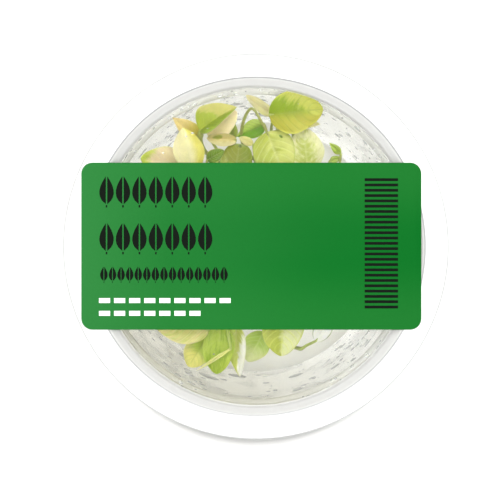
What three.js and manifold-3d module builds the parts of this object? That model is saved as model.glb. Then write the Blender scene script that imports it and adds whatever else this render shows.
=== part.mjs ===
// A marbled anubias grown in tissue culture: seven small plantlets stand in nutrient gel
// in a clear tapered cup, under a snap lid with a blank green label across it.
// Millimetres, +Z up. The origin is the middle of the cup's foot, on the surface that it stands on.
import * as THREE from "three";
import { mergeVertices } from "three/addons/utils/BufferGeometryUtils.js";
import Module from "manifold-3d";

const wasm = await Module();
wasm.setup();

// Driving dimensions of the cup and its lid
const LID_RADIUS = 59;
const TOTAL_HEIGHT = 52;
const WINDOW_RADIUS = 51.8;
const PANEL_RECESS = 1.6;
const SKIRT_HEIGHT = 7.5;
const WALL = 0.9;
const FOOT_RADIUS = 40;
const FLOOR_TOP = 2.1;
const FLANGE_RADIUS = 57.3;
const SHOULDER_HEIGHT = 40.5;
const FIT_GAP = 0.3;
const ROUND_STEPS = 36;

// Driving dimensions of what is in and on the cup
const GEL_TOP = 9.2;
const LABEL = { width: 103.8, height: 51, corner: 3.4, thickness: 0.2, shift: [-1.4, 0.1] };
const LABEL_GAP = 0.05;
const RHIZOME = { length: 7.5, radius: 1.9, tipHeight: 14.9, height: 11.6 };
const ROOT = { radius: 0.55, footHeight: 4.2, spread: 0.9 };
const ROOT_HOLE = { mouthRadius: 2.6, footRadius: 2.2, bottom: 3.4 };
const PETIOLE = { bottomRadius: 0.75, topRadius: 0.5, ring: 2.2, footHeight: 15.2 };
const BLADE = { thickness: 0.5, pillow: 0.35, pillowAt: 0.55 };

// The shares of a stalk's and a blade's length where the skin has a ring
const STALK_STATIONS = [0, 0.24, 0.48, 0.72, 0.96];
const BLADE_STATIONS = [0.06, 0.17, 0.33, 0.5, 0.68, 0.84, 0.95];
const SMALL_BLADE_STATIONS = [0.07, 0.25, 0.5, 0.75, 0.93];
const SMALL_BLADE_WIDTH = 7;

const COLOURS = {
  lid: 0xf7f8f7,
  cup: 0xe9eceb,
  label: 0x2a8a3c,
  gel: 0xdcd9c8,
  rhizome: 0x9aab4a,
  lime: 0xaac23a,
  green: 0x86a832,
  marbled: 0xccd98a,
  cream: 0xebe6a4,
  blush: 0xe3d2a2,
};

// The lid: a recessed panel, a broad flat rim and a skirt with a snap bead inside
const panelTop = TOTAL_HEIGHT - PANEL_RECESS;
const panelUnder = panelTop - WALL;
const rimUnder = TOTAL_HEIGHT - 1.1;
const skirtFoot = TOTAL_HEIGHT - SKIRT_HEIGHT;
const skirtInside = LID_RADIUS - WALL;
const lidProfile = [
  [0, panelTop],
  [WINDOW_RADIUS - 2.9, panelTop],
  [WINDOW_RADIUS - 2.1, panelTop + 0.3],
  [WINDOW_RADIUS - 0.7, TOTAL_HEIGHT - 0.2],
  [WINDOW_RADIUS, TOTAL_HEIGHT],
  [LID_RADIUS - 1.3, TOTAL_HEIGHT],
  [LID_RADIUS - 0.3, TOTAL_HEIGHT - 0.4],
  [LID_RADIUS, TOTAL_HEIGHT - 1.2],
  [LID_RADIUS, skirtFoot],
  [skirtInside, skirtFoot],
  [FLANGE_RADIUS - 0.3, skirtFoot + 0.7],
  [FLANGE_RADIUS - 0.3, skirtFoot + 1.1],
  [skirtInside, skirtFoot + 2.1],
  [skirtInside, rimUnder - 0.6],
  [skirtInside - 0.5, rimUnder],
  [WINDOW_RADIUS - 0.8, rimUnder],
  [WINDOW_RADIUS - 1.6, panelUnder + 0.6],
  [WINDOW_RADIUS - 2.6, panelUnder],
  [0, panelUnder],
];

// The cup: a foot ring, a tapered wall with a nesting shoulder, and a flange with a turned-down lip
const flangeTop = rimUnder - FIT_GAP;
const flangeUnder = flangeTop - 1.1;
const lipFoot = flangeUnder - 3.2;
const wallAt = (z) => FOOT_RADIUS + 0.2 + 0.2 * (z - 3.2);
const shoulderInside = wallAt(SHOULDER_HEIGHT + 0.2);
const cupProfile = [
  [0, 1],
  [FOOT_RADIUS - 4, 1],
  [FOOT_RADIUS - 3.2, 0],
  [FOOT_RADIUS, 0],
  [FOOT_RADIUS + 1, 1],
  [shoulderInside + WALL, SHOULDER_HEIGHT],
  [shoulderInside + 2.3, SHOULDER_HEIGHT + 1.1],
  [WINDOW_RADIUS - 0.4, flangeUnder],
  [FLANGE_RADIUS - 1, flangeUnder],
  [FLANGE_RADIUS - 1, lipFoot],
  [FLANGE_RADIUS, lipFoot],
  [FLANGE_RADIUS, flangeTop - 0.4],
  [FLANGE_RADIUS - 0.4, flangeTop],
  [WINDOW_RADIUS - 0.6, flangeTop],
  [WINDOW_RADIUS - 1.2, flangeTop - 0.7],
  [shoulderInside + 1.4, SHOULDER_HEIGHT + 1.3],
  [shoulderInside, SHOULDER_HEIGHT + 0.2],
  [FOOT_RADIUS + 0.2, 3.2],
  [FOOT_RADIUS - 0.8, FLOOR_TOP],
  [0, FLOOR_TOP],
];

// The gel: it fills the cup's bottom and climbs a little up the wall
const gelProfile = [
  [0, FLOOR_TOP + FIT_GAP],
  [FOOT_RADIUS - 1.2, FLOOR_TOP + FIT_GAP],
  [wallAt(3.5) - FIT_GAP, 3.5],
  [wallAt(GEL_TOP + 0.8) - FIT_GAP, GEL_TOP + 0.8],
  [wallAt(GEL_TOP) - FIT_GAP - 1.2, GEL_TOP + 0.1],
  [0, GEL_TOP],
];

function material(colour, roughness) {
  return new THREE.MeshStandardMaterial({ color: colour, roughness, metalness: 0 });
}

// A closed profile, [radius, height] points from the axis round to the axis, turned about Z
function turned(profile) {
  const points = profile.map(([r, z]) => new THREE.Vector2(r, z));
  const flipped = THREE.ShapeUtils.area(points) > 0 ? points : points.reverse();
  const geometry = new THREE.LatheGeometry(flipped, ROUND_STEPS);
  geometry.rotateX(Math.PI / 2);
  return geometry;
}

// A skin over rings of points, closed by a flat fan at its start and by one point at its end
function lofted(rings, end) {
  const count = rings[0].length;
  const points = [...rings.flat(), end];
  const faces = [];
  for (let i = 1; i < count - 1; i += 1) faces.push(0, i + 1, i);
  for (let ring = 0; ring < rings.length - 1; ring += 1) {
    for (let i = 0; i < count; i += 1) {
      const a = ring * count + i;
      const b = ring * count + ((i + 1) % count);
      faces.push(a, b, a + count, b, b + count, a + count);
    }
  }
  const last = (rings.length - 1) * count;
  for (let i = 0; i < count; i += 1) {
    faces.push(last + i, last + ((i + 1) % count), points.length - 1);
  }
  const geometry = new THREE.BufferGeometry().setFromPoints(points);
  geometry.setIndex(faces);
  return geometry;
}

function solid(geometry) {
  const bare = geometry.index ? geometry.toNonIndexed() : geometry.clone();
  bare.deleteAttribute("normal");
  bare.deleteAttribute("uv");
  const merged = mergeVertices(bare, 1e-4);
  return new wasm.Manifold(
    new wasm.Mesh({
      numProp: 3,
      vertProperties: merged.attributes.position.array,
      triVerts: new Uint32Array(merged.index.array),
    }),
  );
}

function geometryOf(manifold) {
  const { numProp, vertProperties, triVerts } = manifold.getMesh();
  const positions = [];
  for (const vertex of triVerts) {
    positions.push(...vertProperties.subarray(vertex * numProp, vertex * numProp + 3));
  }
  const geometry = new THREE.BufferGeometry();
  geometry.setAttribute("position", new THREE.Float32BufferAttribute(positions, 3));
  return geometry;
}

// A tube of six sides through points, each with its own radius, that ends in a point
function tapered(points, radii) {
  const curve = new THREE.CatmullRomCurve3(points);
  const upright = Math.abs(curve.getTangent(0).z) > 0.7;
  const side = upright ? new THREE.Vector3(1, 0, 0) : new THREE.Vector3(0, 0, 1);
  side.cross(curve.getTangent(0)).negate();
  const rings = radii.map((radius, i) => {
    const along = i / radii.length;
    const centre = curve.getPoint(along);
    const ahead = curve.getTangent(along);
    side.addScaledVector(ahead, -side.dot(ahead)).normalize();
    const up = new THREE.Vector3().crossVectors(side, ahead);
    return [0, 60, 120, 180, 240, 300].map((degrees) => {
      const angle = THREE.MathUtils.degToRad(degrees);
      return centre
        .clone()
        .addScaledVector(side, radius * Math.cos(angle))
        .addScaledVector(up, -radius * Math.sin(angle));
    });
  });
  return lofted(rings, points[points.length - 1]);
}

// How broad a blade is along its length: where it is widest, and how full its ends are
const FORMS = {
  heart: { shift: 0.62, full: 0.85 },
  oval: { shift: 0.8, full: 0.6 },
  spoon: { shift: 1.15, full: 0.75 },
  blunt: { shift: 1, full: 0.5 },
  lance: { shift: 0.75, full: 1 },
};

// The plantlets. Each rhizome's growing tip stands at a place, and the rhizome points some way and
// has its first leaf some way, both in degrees from +X. Its leaves follow anticlockwise. A blade has
// a form, the places where it starts and ends, its width, how far it rolls about its midrib and
// folds up along it, in degrees, and how far its back arches up. Its stalk bows from the straight
// way at one place or more.
const PLANTLETS = [
  {
    name: "back_left", at: [-9, 27], heading: 75, firstLeaf: 36,
    leaves: [
      { name: "curled", tone: "blush", form: "oval", base: [-6.2, 33.6, 36.5], tip: [-15.7, 34, 39.6],
        width: 6.6, roll: -8, fold: 48, arch: 0.6, bows: [[-1, 0, 0]] },
      { name: "wedge", tone: "green", form: "lance", base: [-7.5, 34.3, 30], tip: [-6.7, 39.6, 33],
        width: 3.2, roll: 0, fold: 6, arch: 0.3, bows: [[0, 0, 0]] },
      { name: "orange_tip", tone: "blush", form: "heart", base: [-18.3, 34.6, 37], tip: [-25.9, 40.2, 42],
        width: 6, roll: 0, fold: 8, arch: 0.6, bows: [[-2, 0, 0]] },
      { name: "fan", tone: "marbled", form: "oval", base: [-17.5, 36.2, 41], tip: [-5.9, 43.4, 43.5],
        width: 11.6, roll: -30, fold: 32, arch: 0.8, bows: [[-2.5, 0, 0]] },
      { name: "fan_lower", tone: "blush", form: "oval", base: [-14.8, 34.6, 36.5], tip: [-6, 42.6, 38.5],
        width: 7.6, roll: 0, fold: 6, arch: 0.8, bows: [[0, -1, 0]] },
    ],
  },
  {
    name: "back", at: [5, 27], heading: 110, firstLeaf: 36,
    leaves: [
      { name: "tan_tip", tone: "cream", form: "heart", base: [10.7, 39.5, 38], tip: [20.2, 38.4, 39],
        width: 4.8, roll: 0, fold: 8, arch: 0.5, bows: [[3, 0, 0]] },
      { name: "pale_tip", tone: "cream", form: "oval", base: [3.6, 39.7, 37], tip: [-3.2, 47.2, 42],
        width: 3.2, roll: 0, fold: 10, arch: 0.4, bows: [[0, 1, -2]] },
      { name: "pale_heart", tone: "marbled", form: "heart", base: [3.5, 35.8, 41], tip: [10, 19.6, 41],
        width: 13.6, roll: 4, fold: 8, arch: 1.2,
        bows: [[-8.5, 2.5, -0.5], [-7.5, 6, 2.5], [-4.5, 9.3, 4]] },
      { name: "sprig", tone: "green", form: "lance", base: [-2.8, 35.4, 33], tip: [1.4, 41.2, 35],
        width: 3.8, roll: 0, fold: 12, arch: 0.4, bows: [[1, 0, 0]] },
      { name: "shield", tone: "lime", form: "oval", base: [4.1, 40.8, 45.5], tip: [20.8, 42.4, 46.5],
        width: 13.4, roll: 0, fold: 6, arch: 1, bows: [[1.5, 3.5, -2]] },
    ],
  },
  {
    name: "left", at: [-21, 16], heading: 160, firstLeaf: 40,
    leaves: [
      { name: "dark_scrap", tone: "green", form: "lance", base: [-15.1, 27.7, 37.5], tip: [-10, 30.4, 38.5],
        width: 3, roll: 0, fold: 8, arch: 0.3, bows: [[1, 0, 0]] },
      { name: "far_left", tone: "blush", form: "oval", base: [-22.2, 25.6, 34], tip: [-36.3, 27.9, 37],
        width: 10, roll: 0, fold: 8, arch: 1, bows: [[-1, 0, 0]] },
      { name: "left_low", tone: "green", form: "heart", base: [-28, 8, 25], tip: [-36, -1, 26],
        width: 9, roll: 0, fold: 8, arch: 0.8, bows: [[-1, 0, 0]] },
      { name: "left_flat", tone: "marbled", form: "heart", base: [-26, 10, 40], tip: [-39, 5, 41],
        width: 11, roll: 0, fold: 8, arch: 1, bows: [[0, 0, 0]] },
      { name: "cream", tone: "cream", form: "spoon", base: [-19, 20.7, 43], tip: [-22.6, 36.8, 45],
        width: 10, roll: 8, fold: 10, arch: 1, bows: [[1, 0, 0]] },
    ],
  },
  {
    name: "front_left", at: [-12, -17], heading: 250, firstLeaf: 140,
    leaves: [
      { name: "left_mid", tone: "cream", form: "heart", base: [-20, -9, 37], tip: [-33, -12, 39],
        width: 10.5, roll: 0, fold: 8, arch: 1, bows: [[0, 0, 0]] },
      { name: "lime_left", tone: "lime", form: "oval", base: [-15.8, -29.1, 34], tip: [-21.3, -38.2, 33],
        width: 9, roll: 0, fold: 8, arch: 0.8, bows: [[-2, 0, 0]] },
      { name: "lime_front", tone: "lime", form: "blunt", base: [-12, -27, 38], tip: [-12.3, -40.2, 36.5],
        width: 9.8, roll: 0, fold: 8, arch: 1.2, bows: [[0, 0, 0]] },
      { name: "pale_edge", tone: "cream", form: "lance", base: [-7.8, -31.9, 41],
        tip: [-18.5, -38.8, 40.5], width: 1.6, roll: 0, fold: 30, arch: 0.3, bows: [[0, 0, 3]] },
      { name: "white_blade", tone: "marbled", form: "oval", base: [-5.3, -30.4, 35], tip: [-5, -41.4, 33],
        width: 5.6, roll: 30, fold: 20, arch: 0.6, bows: [[1, 0, 0]] },
      { name: "streaked", tone: "marbled", form: "oval", base: [-15, -26.2, 42], tip: [-33, -25.1, 43],
        width: 10.8, roll: 4, fold: 8, arch: 1, bows: [[0, 0, 3]] },
    ],
  },
  {
    name: "front", at: [4, -16], heading: 285, firstLeaf: 350,
    leaves: [
      { name: "white_side", tone: "cream", form: "heart", base: [18.7, -29.4, 43], tip: [25, -18.6, 42],
        width: 5.6, roll: 0, fold: 8, arch: 0.6, bows: [[0.5, -9, 1]] },
      { name: "front_low", tone: "green", form: "heart", base: [11, -9, 26], tip: [20, -1, 28],
        width: 8, roll: 0, fold: 8, arch: 0.8, bows: [[0, 0, 0]] },
      { name: "front_right", tone: "lime", form: "heart", base: [14, -10, 37], tip: [25, -13, 37.5],
        width: 9.5, roll: 0, fold: 8, arch: 1, bows: [[0, 0, 2]] },
      { name: "folded", tone: "marbled", form: "oval", base: [7.2, -19.2, 41], tip: [7.7, -34.2, 42],
        width: 11.8, roll: 0, fold: 14, arch: 1, bows: [[0, 0, 2]] },
      { name: "soft_green", tone: "green", form: "oval", base: [2.6, -27.4, 27], tip: [-2.6, -37, 26],
        width: 8.5, roll: 0, fold: 6, arch: 0.8, bows: [[0, 0, 0]] },
    ],
  },
  {
    name: "right", at: [20, 13], heading: 20, firstLeaf: 350,
    leaves: [
      { name: "right_low", tone: "green", form: "heart", base: [26, 12, 27], tip: [34, 6, 30],
        width: 8.5, roll: 0, fold: 8, arch: 0.8, bows: [[0, 0, 0]] },
      { name: "sprout", tone: "lime", form: "lance", base: [26.8, 29.1, 37.5], tip: [23.1, 32.6, 39],
        width: 2.6, roll: 0, fold: 12, arch: 0.3, bows: [[2, 0, 0]] },
      { name: "bud", tone: "green", form: "oval", base: [23.6, 27.2, 33.5], tip: [27, 28.2, 34],
        width: 2.4, roll: 0, fold: 10, arch: 0.3, bows: [[0, 0, 0]] },
      { name: "white_marbled", tone: "marbled", form: "spoon", base: [16.7, 20.9, 38.5],
        tip: [14.8, 37.6, 40.5], width: 11.4, roll: 0, fold: 8, arch: 1.2, bows: [[0, 0, 0]] },
      { name: "right_flat", tone: "marbled", form: "heart", base: [14, 6, 41], tip: [27, 0, 43],
        width: 12, roll: 0, fold: 8, arch: 1.2, bows: [[0, 0, 0]] },
    ],
  },
  {
    name: "middle", at: [-3, 4], heading: 200, firstLeaf: 110,
    leaves: [
      { name: "olive", tone: "green", form: "blunt", base: [-7.5, 19.1, 36.5], tip: [-5.3, 32.6, 36],
        width: 9.6, roll: 0, fold: 4, arch: 0.8, bows: [[0, 0, 0]] },
      { name: "centre_low", tone: "lime", form: "heart", base: [-10, -2, 29], tip: [-19, -6, 30],
        width: 9, roll: 0, fold: 8, arch: 0.8, bows: [[0, 0, 0]] },
      { name: "centre", tone: "lime", form: "heart", base: [0, 0, 41.5], tip: [3, -14, 43],
        width: 11, roll: 0, fold: 8, arch: 1.2, bows: [[1, 0, 0]] },
      { name: "centre_left", tone: "cream", form: "heart", base: [-12, 8, 42], tip: [-15, -8, 44],
        width: 11.5, roll: 0, fold: 8, arch: 1.2, bows: [[0, 0, 3]] },
      { name: "cream_flap", tone: "cream", form: "oval", base: [-0.8, 32.2, 37.5], tip: [-5.2, 34.4, 37],
        width: 2.8, roll: 0, fold: 8, arch: 0.3, bows: [[1.5, 0, -2]] },
    ],
  },
];

const vector = (list) => new THREE.Vector3(...list);

// Half the blade's width at a share of its length, as a share of its widest
function outline({ shift, full }, u) {
  return Math.sin(Math.PI * u ** shift) ** full;
}

// One ring of six: left edge, left top, midrib, right top, right edge, keel
function ring(centre, side, normal, { half, edge, mid, crest, keel }) {
  const at = (across, up) =>
    centre.clone().addScaledVector(side, across).addScaledVector(normal, up);
  const shoulder = half * BLADE.pillowAt;
  return [
    at(-half, edge),
    at(-shoulder, mid),
    at(0, crest),
    at(shoulder, mid),
    at(half, edge),
    at(0, -keel),
  ];
}

// A leaf in one piece: a round stalk that bends into a blade with a raised back and folded sides
function leafGeometry(start, { form, base: blade, tip: end, width, roll, fold, arch, bows }) {
  const base = vector(blade);
  const tip = vector(end);
  const axis = tip.clone().sub(base).normalize();
  const side = new THREE.Vector3().crossVectors(axis, new THREE.Vector3(0, 0, 1)).normalize();
  side.applyAxisAngle(axis, THREE.MathUtils.degToRad(roll));
  const normal = new THREE.Vector3().crossVectors(side, axis);
  const waypoints = bows.map((bow, i) => {
    const share = (i + 1) / (bows.length + 1);
    const point = start.clone().lerp(base, share).add(vector(bow));
    point.z += (base.z - start.z) * share * (1 - share);
    return point;
  });
  const stalk = new THREE.CatmullRomCurve3([start, ...waypoints, base], false, "catmullrom");
  const stalkSide = side.clone();
  const stalkRings = STALK_STATIONS.toReversed().map((t) => {
    const ahead = stalk.getTangent(t);
    stalkSide.addScaledVector(ahead, -stalkSide.dot(ahead)).normalize();
    const up = new THREE.Vector3().crossVectors(stalkSide, ahead);
    const radius = THREE.MathUtils.lerp(PETIOLE.bottomRadius, PETIOLE.topRadius, t);
    return ring(stalk.getPoint(t), stalkSide, up, {
      half: radius,
      edge: 0,
      mid: radius * 0.85,
      crest: radius,
      keel: radius,
    });
  });
  const rise = THREE.MathUtils.degToRad(fold);
  const stations = width < SMALL_BLADE_WIDTH ? SMALL_BLADE_STATIONS : BLADE_STATIONS;
  const bladeRings = stations.map((u) => {
    const centre = base.clone().lerp(tip, u).addScaledVector(normal, arch * 4 * u * (1 - u));
    const breadth = outline(FORMS[form], u);
    const half = 0.5 * width * breadth;
    return ring(centre, side, normal, {
      half: half * Math.cos(rise),
      edge: half * Math.sin(rise),
      mid: BLADE.pillowAt * half * Math.sin(rise) + BLADE.pillow * breadth,
      crest: 0,
      keel: BLADE.thickness * (1 - 0.5 * u),
    });
  });
  return lofted([...stalkRings.reverse(), ...bladeRings], tip);
}

// A place by a plantlet's growing tip: some way back along its rhizome and some way across it
function placeBy({ at: [x, y], heading }, back, height, across = 0) {
  const angle = THREE.MathUtils.degToRad(heading);
  return new THREE.Vector3(
    x - back * Math.cos(angle) - across * Math.sin(angle),
    y - back * Math.sin(angle) + across * Math.cos(angle),
    height,
  );
}

// A creeping stem whose tip turns up, with two roots down into the gel and one along its surface
function rhizomeGeometry(plantlet) {
  const { length, radius, tipHeight, height } = RHIZOME;
  const middle = length / 2;
  const stem = tapered(
    [
      placeBy(plantlet, length, height),
      placeBy(plantlet, middle, height),
      placeBy(plantlet, 0, tipHeight),
    ],
    [radius * 0.55, radius * 0.95, radius, radius * 0.9, radius * 0.7],
  );
  const rootRadii = [ROOT.radius, ROOT.radius, ROOT.radius * 0.8];
  const surface = GEL_TOP + ROOT.radius + FIT_GAP;
  const runner = tapered(
    [
      placeBy(plantlet, middle + 1.2, height, 0.6),
      placeBy(plantlet, middle + 2.7, surface, 4),
      placeBy(plantlet, middle + 1.2, surface, 8),
    ],
    rootRadii,
  );
  let made = solid(stem).add(solid(runner));
  for (const across of [-ROOT.spread, ROOT.spread]) {
    const root = tapered(
      [
        placeBy(plantlet, middle, height, across),
        placeBy(plantlet, middle, (height + ROOT.footHeight) / 2, across * 1.3),
        placeBy(plantlet, middle, ROOT.footHeight, across),
      ],
      rootRadii,
    );
    made = made.add(solid(root));
  }
  return geometryOf(made);
}

// The hole that each pair of roots grows down through, a little wider than the roots
function rootHole(plantlet) {
  const { mouthRadius, footRadius, bottom } = ROOT_HOLE;
  const depth = GEL_TOP + 1 - bottom;
  const hole = new THREE.CylinderGeometry(mouthRadius, footRadius, depth, 8);
  hole.rotateX(Math.PI / 2);
  const { x, y } = placeBy(plantlet, RHIZOME.length / 2, 0);
  hole.translate(x, y, bottom + depth / 2);
  return hole;
}

// A sheet with round corners
function labelGeometry() {
  const { width, height, corner, thickness } = LABEL;
  const x = width / 2 - corner;
  const y = height / 2 - corner;
  const shape = new THREE.Shape();
  [[x, y], [-x, y], [-x, -y], [x, -y]].forEach(([centreX, centreY], quarter) => {
    const from = (quarter * Math.PI) / 2;
    shape.absarc(centreX, centreY, corner, from, from + Math.PI / 2);
  });
  return new THREE.ExtrudeGeometry(shape, {
    depth: thickness,
    bevelEnabled: false,
    curveSegments: 3,
  });
}

const part = new THREE.Group();
const addPart = (name, geometry, colour, roughness) => {
  const mesh = new THREE.Mesh(geometry, material(colour, roughness));
  mesh.name = name;
  part.add(mesh);
  return mesh;
};

addPart("cup", turned(cupProfile), COLOURS.cup, 0.1);
addPart("lid", turned(lidProfile), COLOURS.lid, 0.25);

const label = addPart("label", labelGeometry(), COLOURS.label, 0.45);
label.position.set(LABEL.shift[0], LABEL.shift[1], TOTAL_HEIGHT + LABEL_GAP);

let gel = solid(turned(gelProfile));
for (const plantlet of PLANTLETS) gel = gel.subtract(solid(rootHole(plantlet)));
addPart("gel", geometryOf(gel), COLOURS.gel, 0.2);

for (const plantlet of PLANTLETS) {
  addPart(`rhizome_${plantlet.name}`, rhizomeGeometry(plantlet), COLOURS.rhizome, 0.6);
  plantlet.leaves.forEach((leaf, place) => {
    const degrees = plantlet.firstLeaf + (360 * place) / plantlet.leaves.length;
    const turn = THREE.MathUtils.degToRad(degrees);
    const start = new THREE.Vector3(
      plantlet.at[0] + PETIOLE.ring * Math.cos(turn),
      plantlet.at[1] + PETIOLE.ring * Math.sin(turn),
      PETIOLE.footHeight,
    );
    addPart(`leaf_${leaf.name}`, leafGeometry(start, leaf), COLOURS[leaf.tone], 0.5);
  });
}

export default part;
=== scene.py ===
"""The looks of a marbled anubias grown in tissue culture, in its lidded cup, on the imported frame.

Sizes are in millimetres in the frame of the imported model: +Z up, with the origin in the middle of
the cup's foot. Meshes are made in metres.
"""

import logging
import math
from collections.abc import Callable, Sequence
from dataclasses import dataclass, field
from enum import Enum

import bmesh
import bpy
from mathutils import Matrix, Vector, noise


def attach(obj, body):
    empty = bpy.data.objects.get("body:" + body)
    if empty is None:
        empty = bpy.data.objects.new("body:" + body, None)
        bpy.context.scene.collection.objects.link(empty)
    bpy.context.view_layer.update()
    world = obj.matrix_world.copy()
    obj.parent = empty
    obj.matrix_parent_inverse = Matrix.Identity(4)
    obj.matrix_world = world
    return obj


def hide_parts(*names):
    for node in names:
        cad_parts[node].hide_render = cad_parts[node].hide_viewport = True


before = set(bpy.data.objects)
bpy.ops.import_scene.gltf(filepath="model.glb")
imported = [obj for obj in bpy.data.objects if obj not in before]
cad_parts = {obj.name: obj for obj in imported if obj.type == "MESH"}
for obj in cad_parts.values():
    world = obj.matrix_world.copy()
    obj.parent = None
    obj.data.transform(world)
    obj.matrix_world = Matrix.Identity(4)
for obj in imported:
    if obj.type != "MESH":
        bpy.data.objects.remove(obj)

logging.basicConfig(level=logging.INFO, format="%(message)s")
log = logging.getLogger("anubias_cup")

MM = 0.001
BLADE_MAP = "blade"
# A side vein leaves the midrib at u and runs on at u + VEIN_SLANT * |w| ** VEIN_BEND.
VEIN_SLANT = 0.3
VEIN_BEND = 1.4

# The nodes and settings that come up most. A colour mix takes its share at input 0 and its two
# colours at 6 and 7, and gives its colour at output 2.
MATH = "ShaderNodeMath"
VECTOR_MATH = "ShaderNodeVectorMath"
SPLIT = "ShaderNodeSeparateXYZ"
NOISE = "ShaderNodeTexNoise"
RANGE = "ShaderNodeMapRange"
MIX = "ShaderNodeMix"
TINT = "ShaderNodeHueSaturation"
BUMP = "ShaderNodeBump"
SMOOTH = {"interpolation_type": "SMOOTHSTEP"}
COLOUR = {"data_type": "RGBA"}
TIMES = {"operation": "MULTIPLY"}
TIMES_ADD = {"operation": "MULTIPLY_ADD"}
TOWARDS = {"operation": "DOT_PRODUCT"}

Vec = tuple[float, float, float]
Pair = tuple[float, float]
Profile = list[Pair]
Faces = list[list[int]]
Sockets = dict[str | int, object]


def linear(hex_colour: str) -> tuple[float, float, float, float]:
    """Turns an sRGB hex colour into the linear colour that Blender's sockets take.

    Args:
        hex_colour: six hex digits after a hash.

    Returns:
        Red, green and blue in linear light, and an alpha of one.
    """
    parts = [int(hex_colour[i : i + 2], 16) / 255 for i in (1, 3, 5)]
    light = [c / 12.92 if c <= 0.04045 else ((c + 0.055) / 1.055) ** 2.4 for c in parts]
    return (*light, 1.0)


def add(tree: bpy.types.NodeTree, kind: str, sockets: Sockets | None = None, **settings) -> bpy.types.Node:
    """Adds a node to a tree, sets it and fills or links its inputs.

    Args:
        tree: the node tree.
        kind: the node's type name.
        sockets: input name or place to a value, a node (its first output) or an output socket.
        **settings: the node's own properties.

    Returns:
        The new node.
    """
    node = tree.nodes.new(kind)
    for name, value in settings.items():
        setattr(node, name, value)
    for key, value in (sockets or {}).items():
        source = value.outputs[0] if isinstance(value, bpy.types.Node) else value
        if isinstance(source, bpy.types.NodeSocket):
            tree.links.new(source, node.inputs[key])
        else:
            node.inputs[key].default_value = source
    return node


def new_material(name: str) -> tuple[bpy.types.Material, bpy.types.NodeTree, bpy.types.NodeSocket]:
    """Makes a node material that has its coordinates alone.

    Args:
        name: the material's name.

    Returns:
        The material, its node tree and the place on the object.
    """
    material = bpy.data.materials.new(name)
    material.use_nodes = True
    tree = material.node_tree
    tree.nodes.clear()
    return material, tree, add(tree, "ShaderNodeTexCoord").outputs["Object"]


def surface(tree: bpy.types.NodeTree, sockets: Sockets) -> None:
    """Ends a material's tree in a Principled shader with the given sockets."""
    shader = add(tree, "ShaderNodeBsdfPrincipled", sockets)
    add(tree, "ShaderNodeOutputMaterial", {"Surface": shader})


def geometry_tree(
    name: str, inputs: dict[str, str], output: str
) -> tuple[bpy.types.NodeTree, bpy.types.NodeOutputs]:
    """Makes a Geometry Nodes tree that has its inputs and its output alone.

    Args:
        name: the tree's name.
        inputs: each input's name and kind.
        output: the name of the geometry that it gives.

    Returns:
        The tree, and its inputs as sockets to link from.
    """
    tree = bpy.data.node_groups.new(name, "GeometryNodeTree")
    for title, kind in inputs.items():
        tree.interface.new_socket(title, in_out="INPUT", socket_type=f"NodeSocket{kind}")
    tree.interface.new_socket(output, in_out="OUTPUT", socket_type="NodeSocketGeometry")
    return tree, add(tree, "NodeGroupInput").outputs


def realized(
    carrier: bpy.types.Object, tree: bpy.types.NodeTree, settings: dict[str, object]
) -> bpy.types.Object:
    """Runs a node tree on an object and keeps the result as its plain mesh.

    Args:
        carrier: the object that the tree works on.
        tree: the node tree.
        settings: the tree's inputs by name.

    Returns:
        The same object, with the result as its mesh and no modifier.
    """
    modifier = carrier.modifiers.new("made", "NODES")
    modifier.node_group = tree
    for item in tree.interface.items_tree:
        if item.in_out == "INPUT" and item.name in settings:
            modifier[item.identifier] = settings[item.name]
    graph = bpy.context.evaluated_depsgraph_get()
    made = bpy.data.meshes.new_from_object(carrier.evaluated_get(graph))
    carrier.modifiers.remove(modifier)
    carrier.data = made
    return carrier


def linked(name: str, data: bpy.types.ID) -> bpy.types.Object:
    """Makes an object and links it to the scene.

    Args:
        name: the object's name.
        data: its mesh, light or camera.

    Returns:
        The object.
    """
    made = bpy.data.objects.new(name, data)
    bpy.context.scene.collection.objects.link(made)
    return made


def plain_mesh(name: str, points: Sequence[Vector | Vec], faces: Sequence[Sequence[int]]) -> bpy.types.Mesh:
    """Makes a mesh from points in millimetres.

    Args:
        name: the mesh's name.
        points: the vertices.
        faces: vertex places of each face.

    Returns:
        The mesh.
    """
    mesh = bpy.data.meshes.new(name)
    mesh.from_pydata([tuple(c * MM for c in p) for p in points], [], faces)
    return mesh


def mesh_object(
    name: str, points: Sequence[Vector | Vec], faces: Sequence[Sequence[int]],
    materials: Sequence[bpy.types.Material], face_materials: Sequence[int] | None = None,
    sharp_degrees: float = 40.0,
) -> bpy.types.Object:
    """Makes a smooth-shaded object at the origin from points in millimetres.

    Args:
        name: the object's name.
        points: the vertices, in millimetres.
        faces: vertex places of each face.
        materials: the object's materials.
        face_materials: each face's material, or the first for all.
        sharp_degrees: edges sharper than this stay crisp.

    Returns:
        The object, linked to the scene.
    """
    mesh = plain_mesh(name, points, faces)
    for material in materials:
        mesh.materials.append(material)
    if face_materials is not None:
        mesh.polygons.foreach_set("material_index", face_materials)
    mesh.polygons.foreach_set("use_smooth", [True] * len(mesh.polygons))
    outward(mesh)
    mesh.set_sharp_from_angle(angle=math.radians(sharp_degrees))
    return linked(name, mesh)


def outward(mesh: bpy.types.Mesh) -> None:
    """Turns each closed shell's faces outwards."""
    work = bmesh.new()
    work.from_mesh(mesh)
    bmesh.ops.recalc_face_normals(work, faces=work.faces)
    work.to_mesh(mesh)
    work.free()


def place(piece: bpy.types.Object, slot: str, *nodes: str) -> bpy.types.Object:
    """Puts a finished piece on the one body, in place of its nodes of the frame.

    Args:
        piece: the finished object.
        slot: the record's material slot; not used.
        *nodes: the nodes that it stands for.

    Returns:
        The piece.
    """
    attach(piece, "root")
    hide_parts(*nodes)
    log.info("%s: %d faces", piece.name, len(piece.data.polygons))
    return piece


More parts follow.
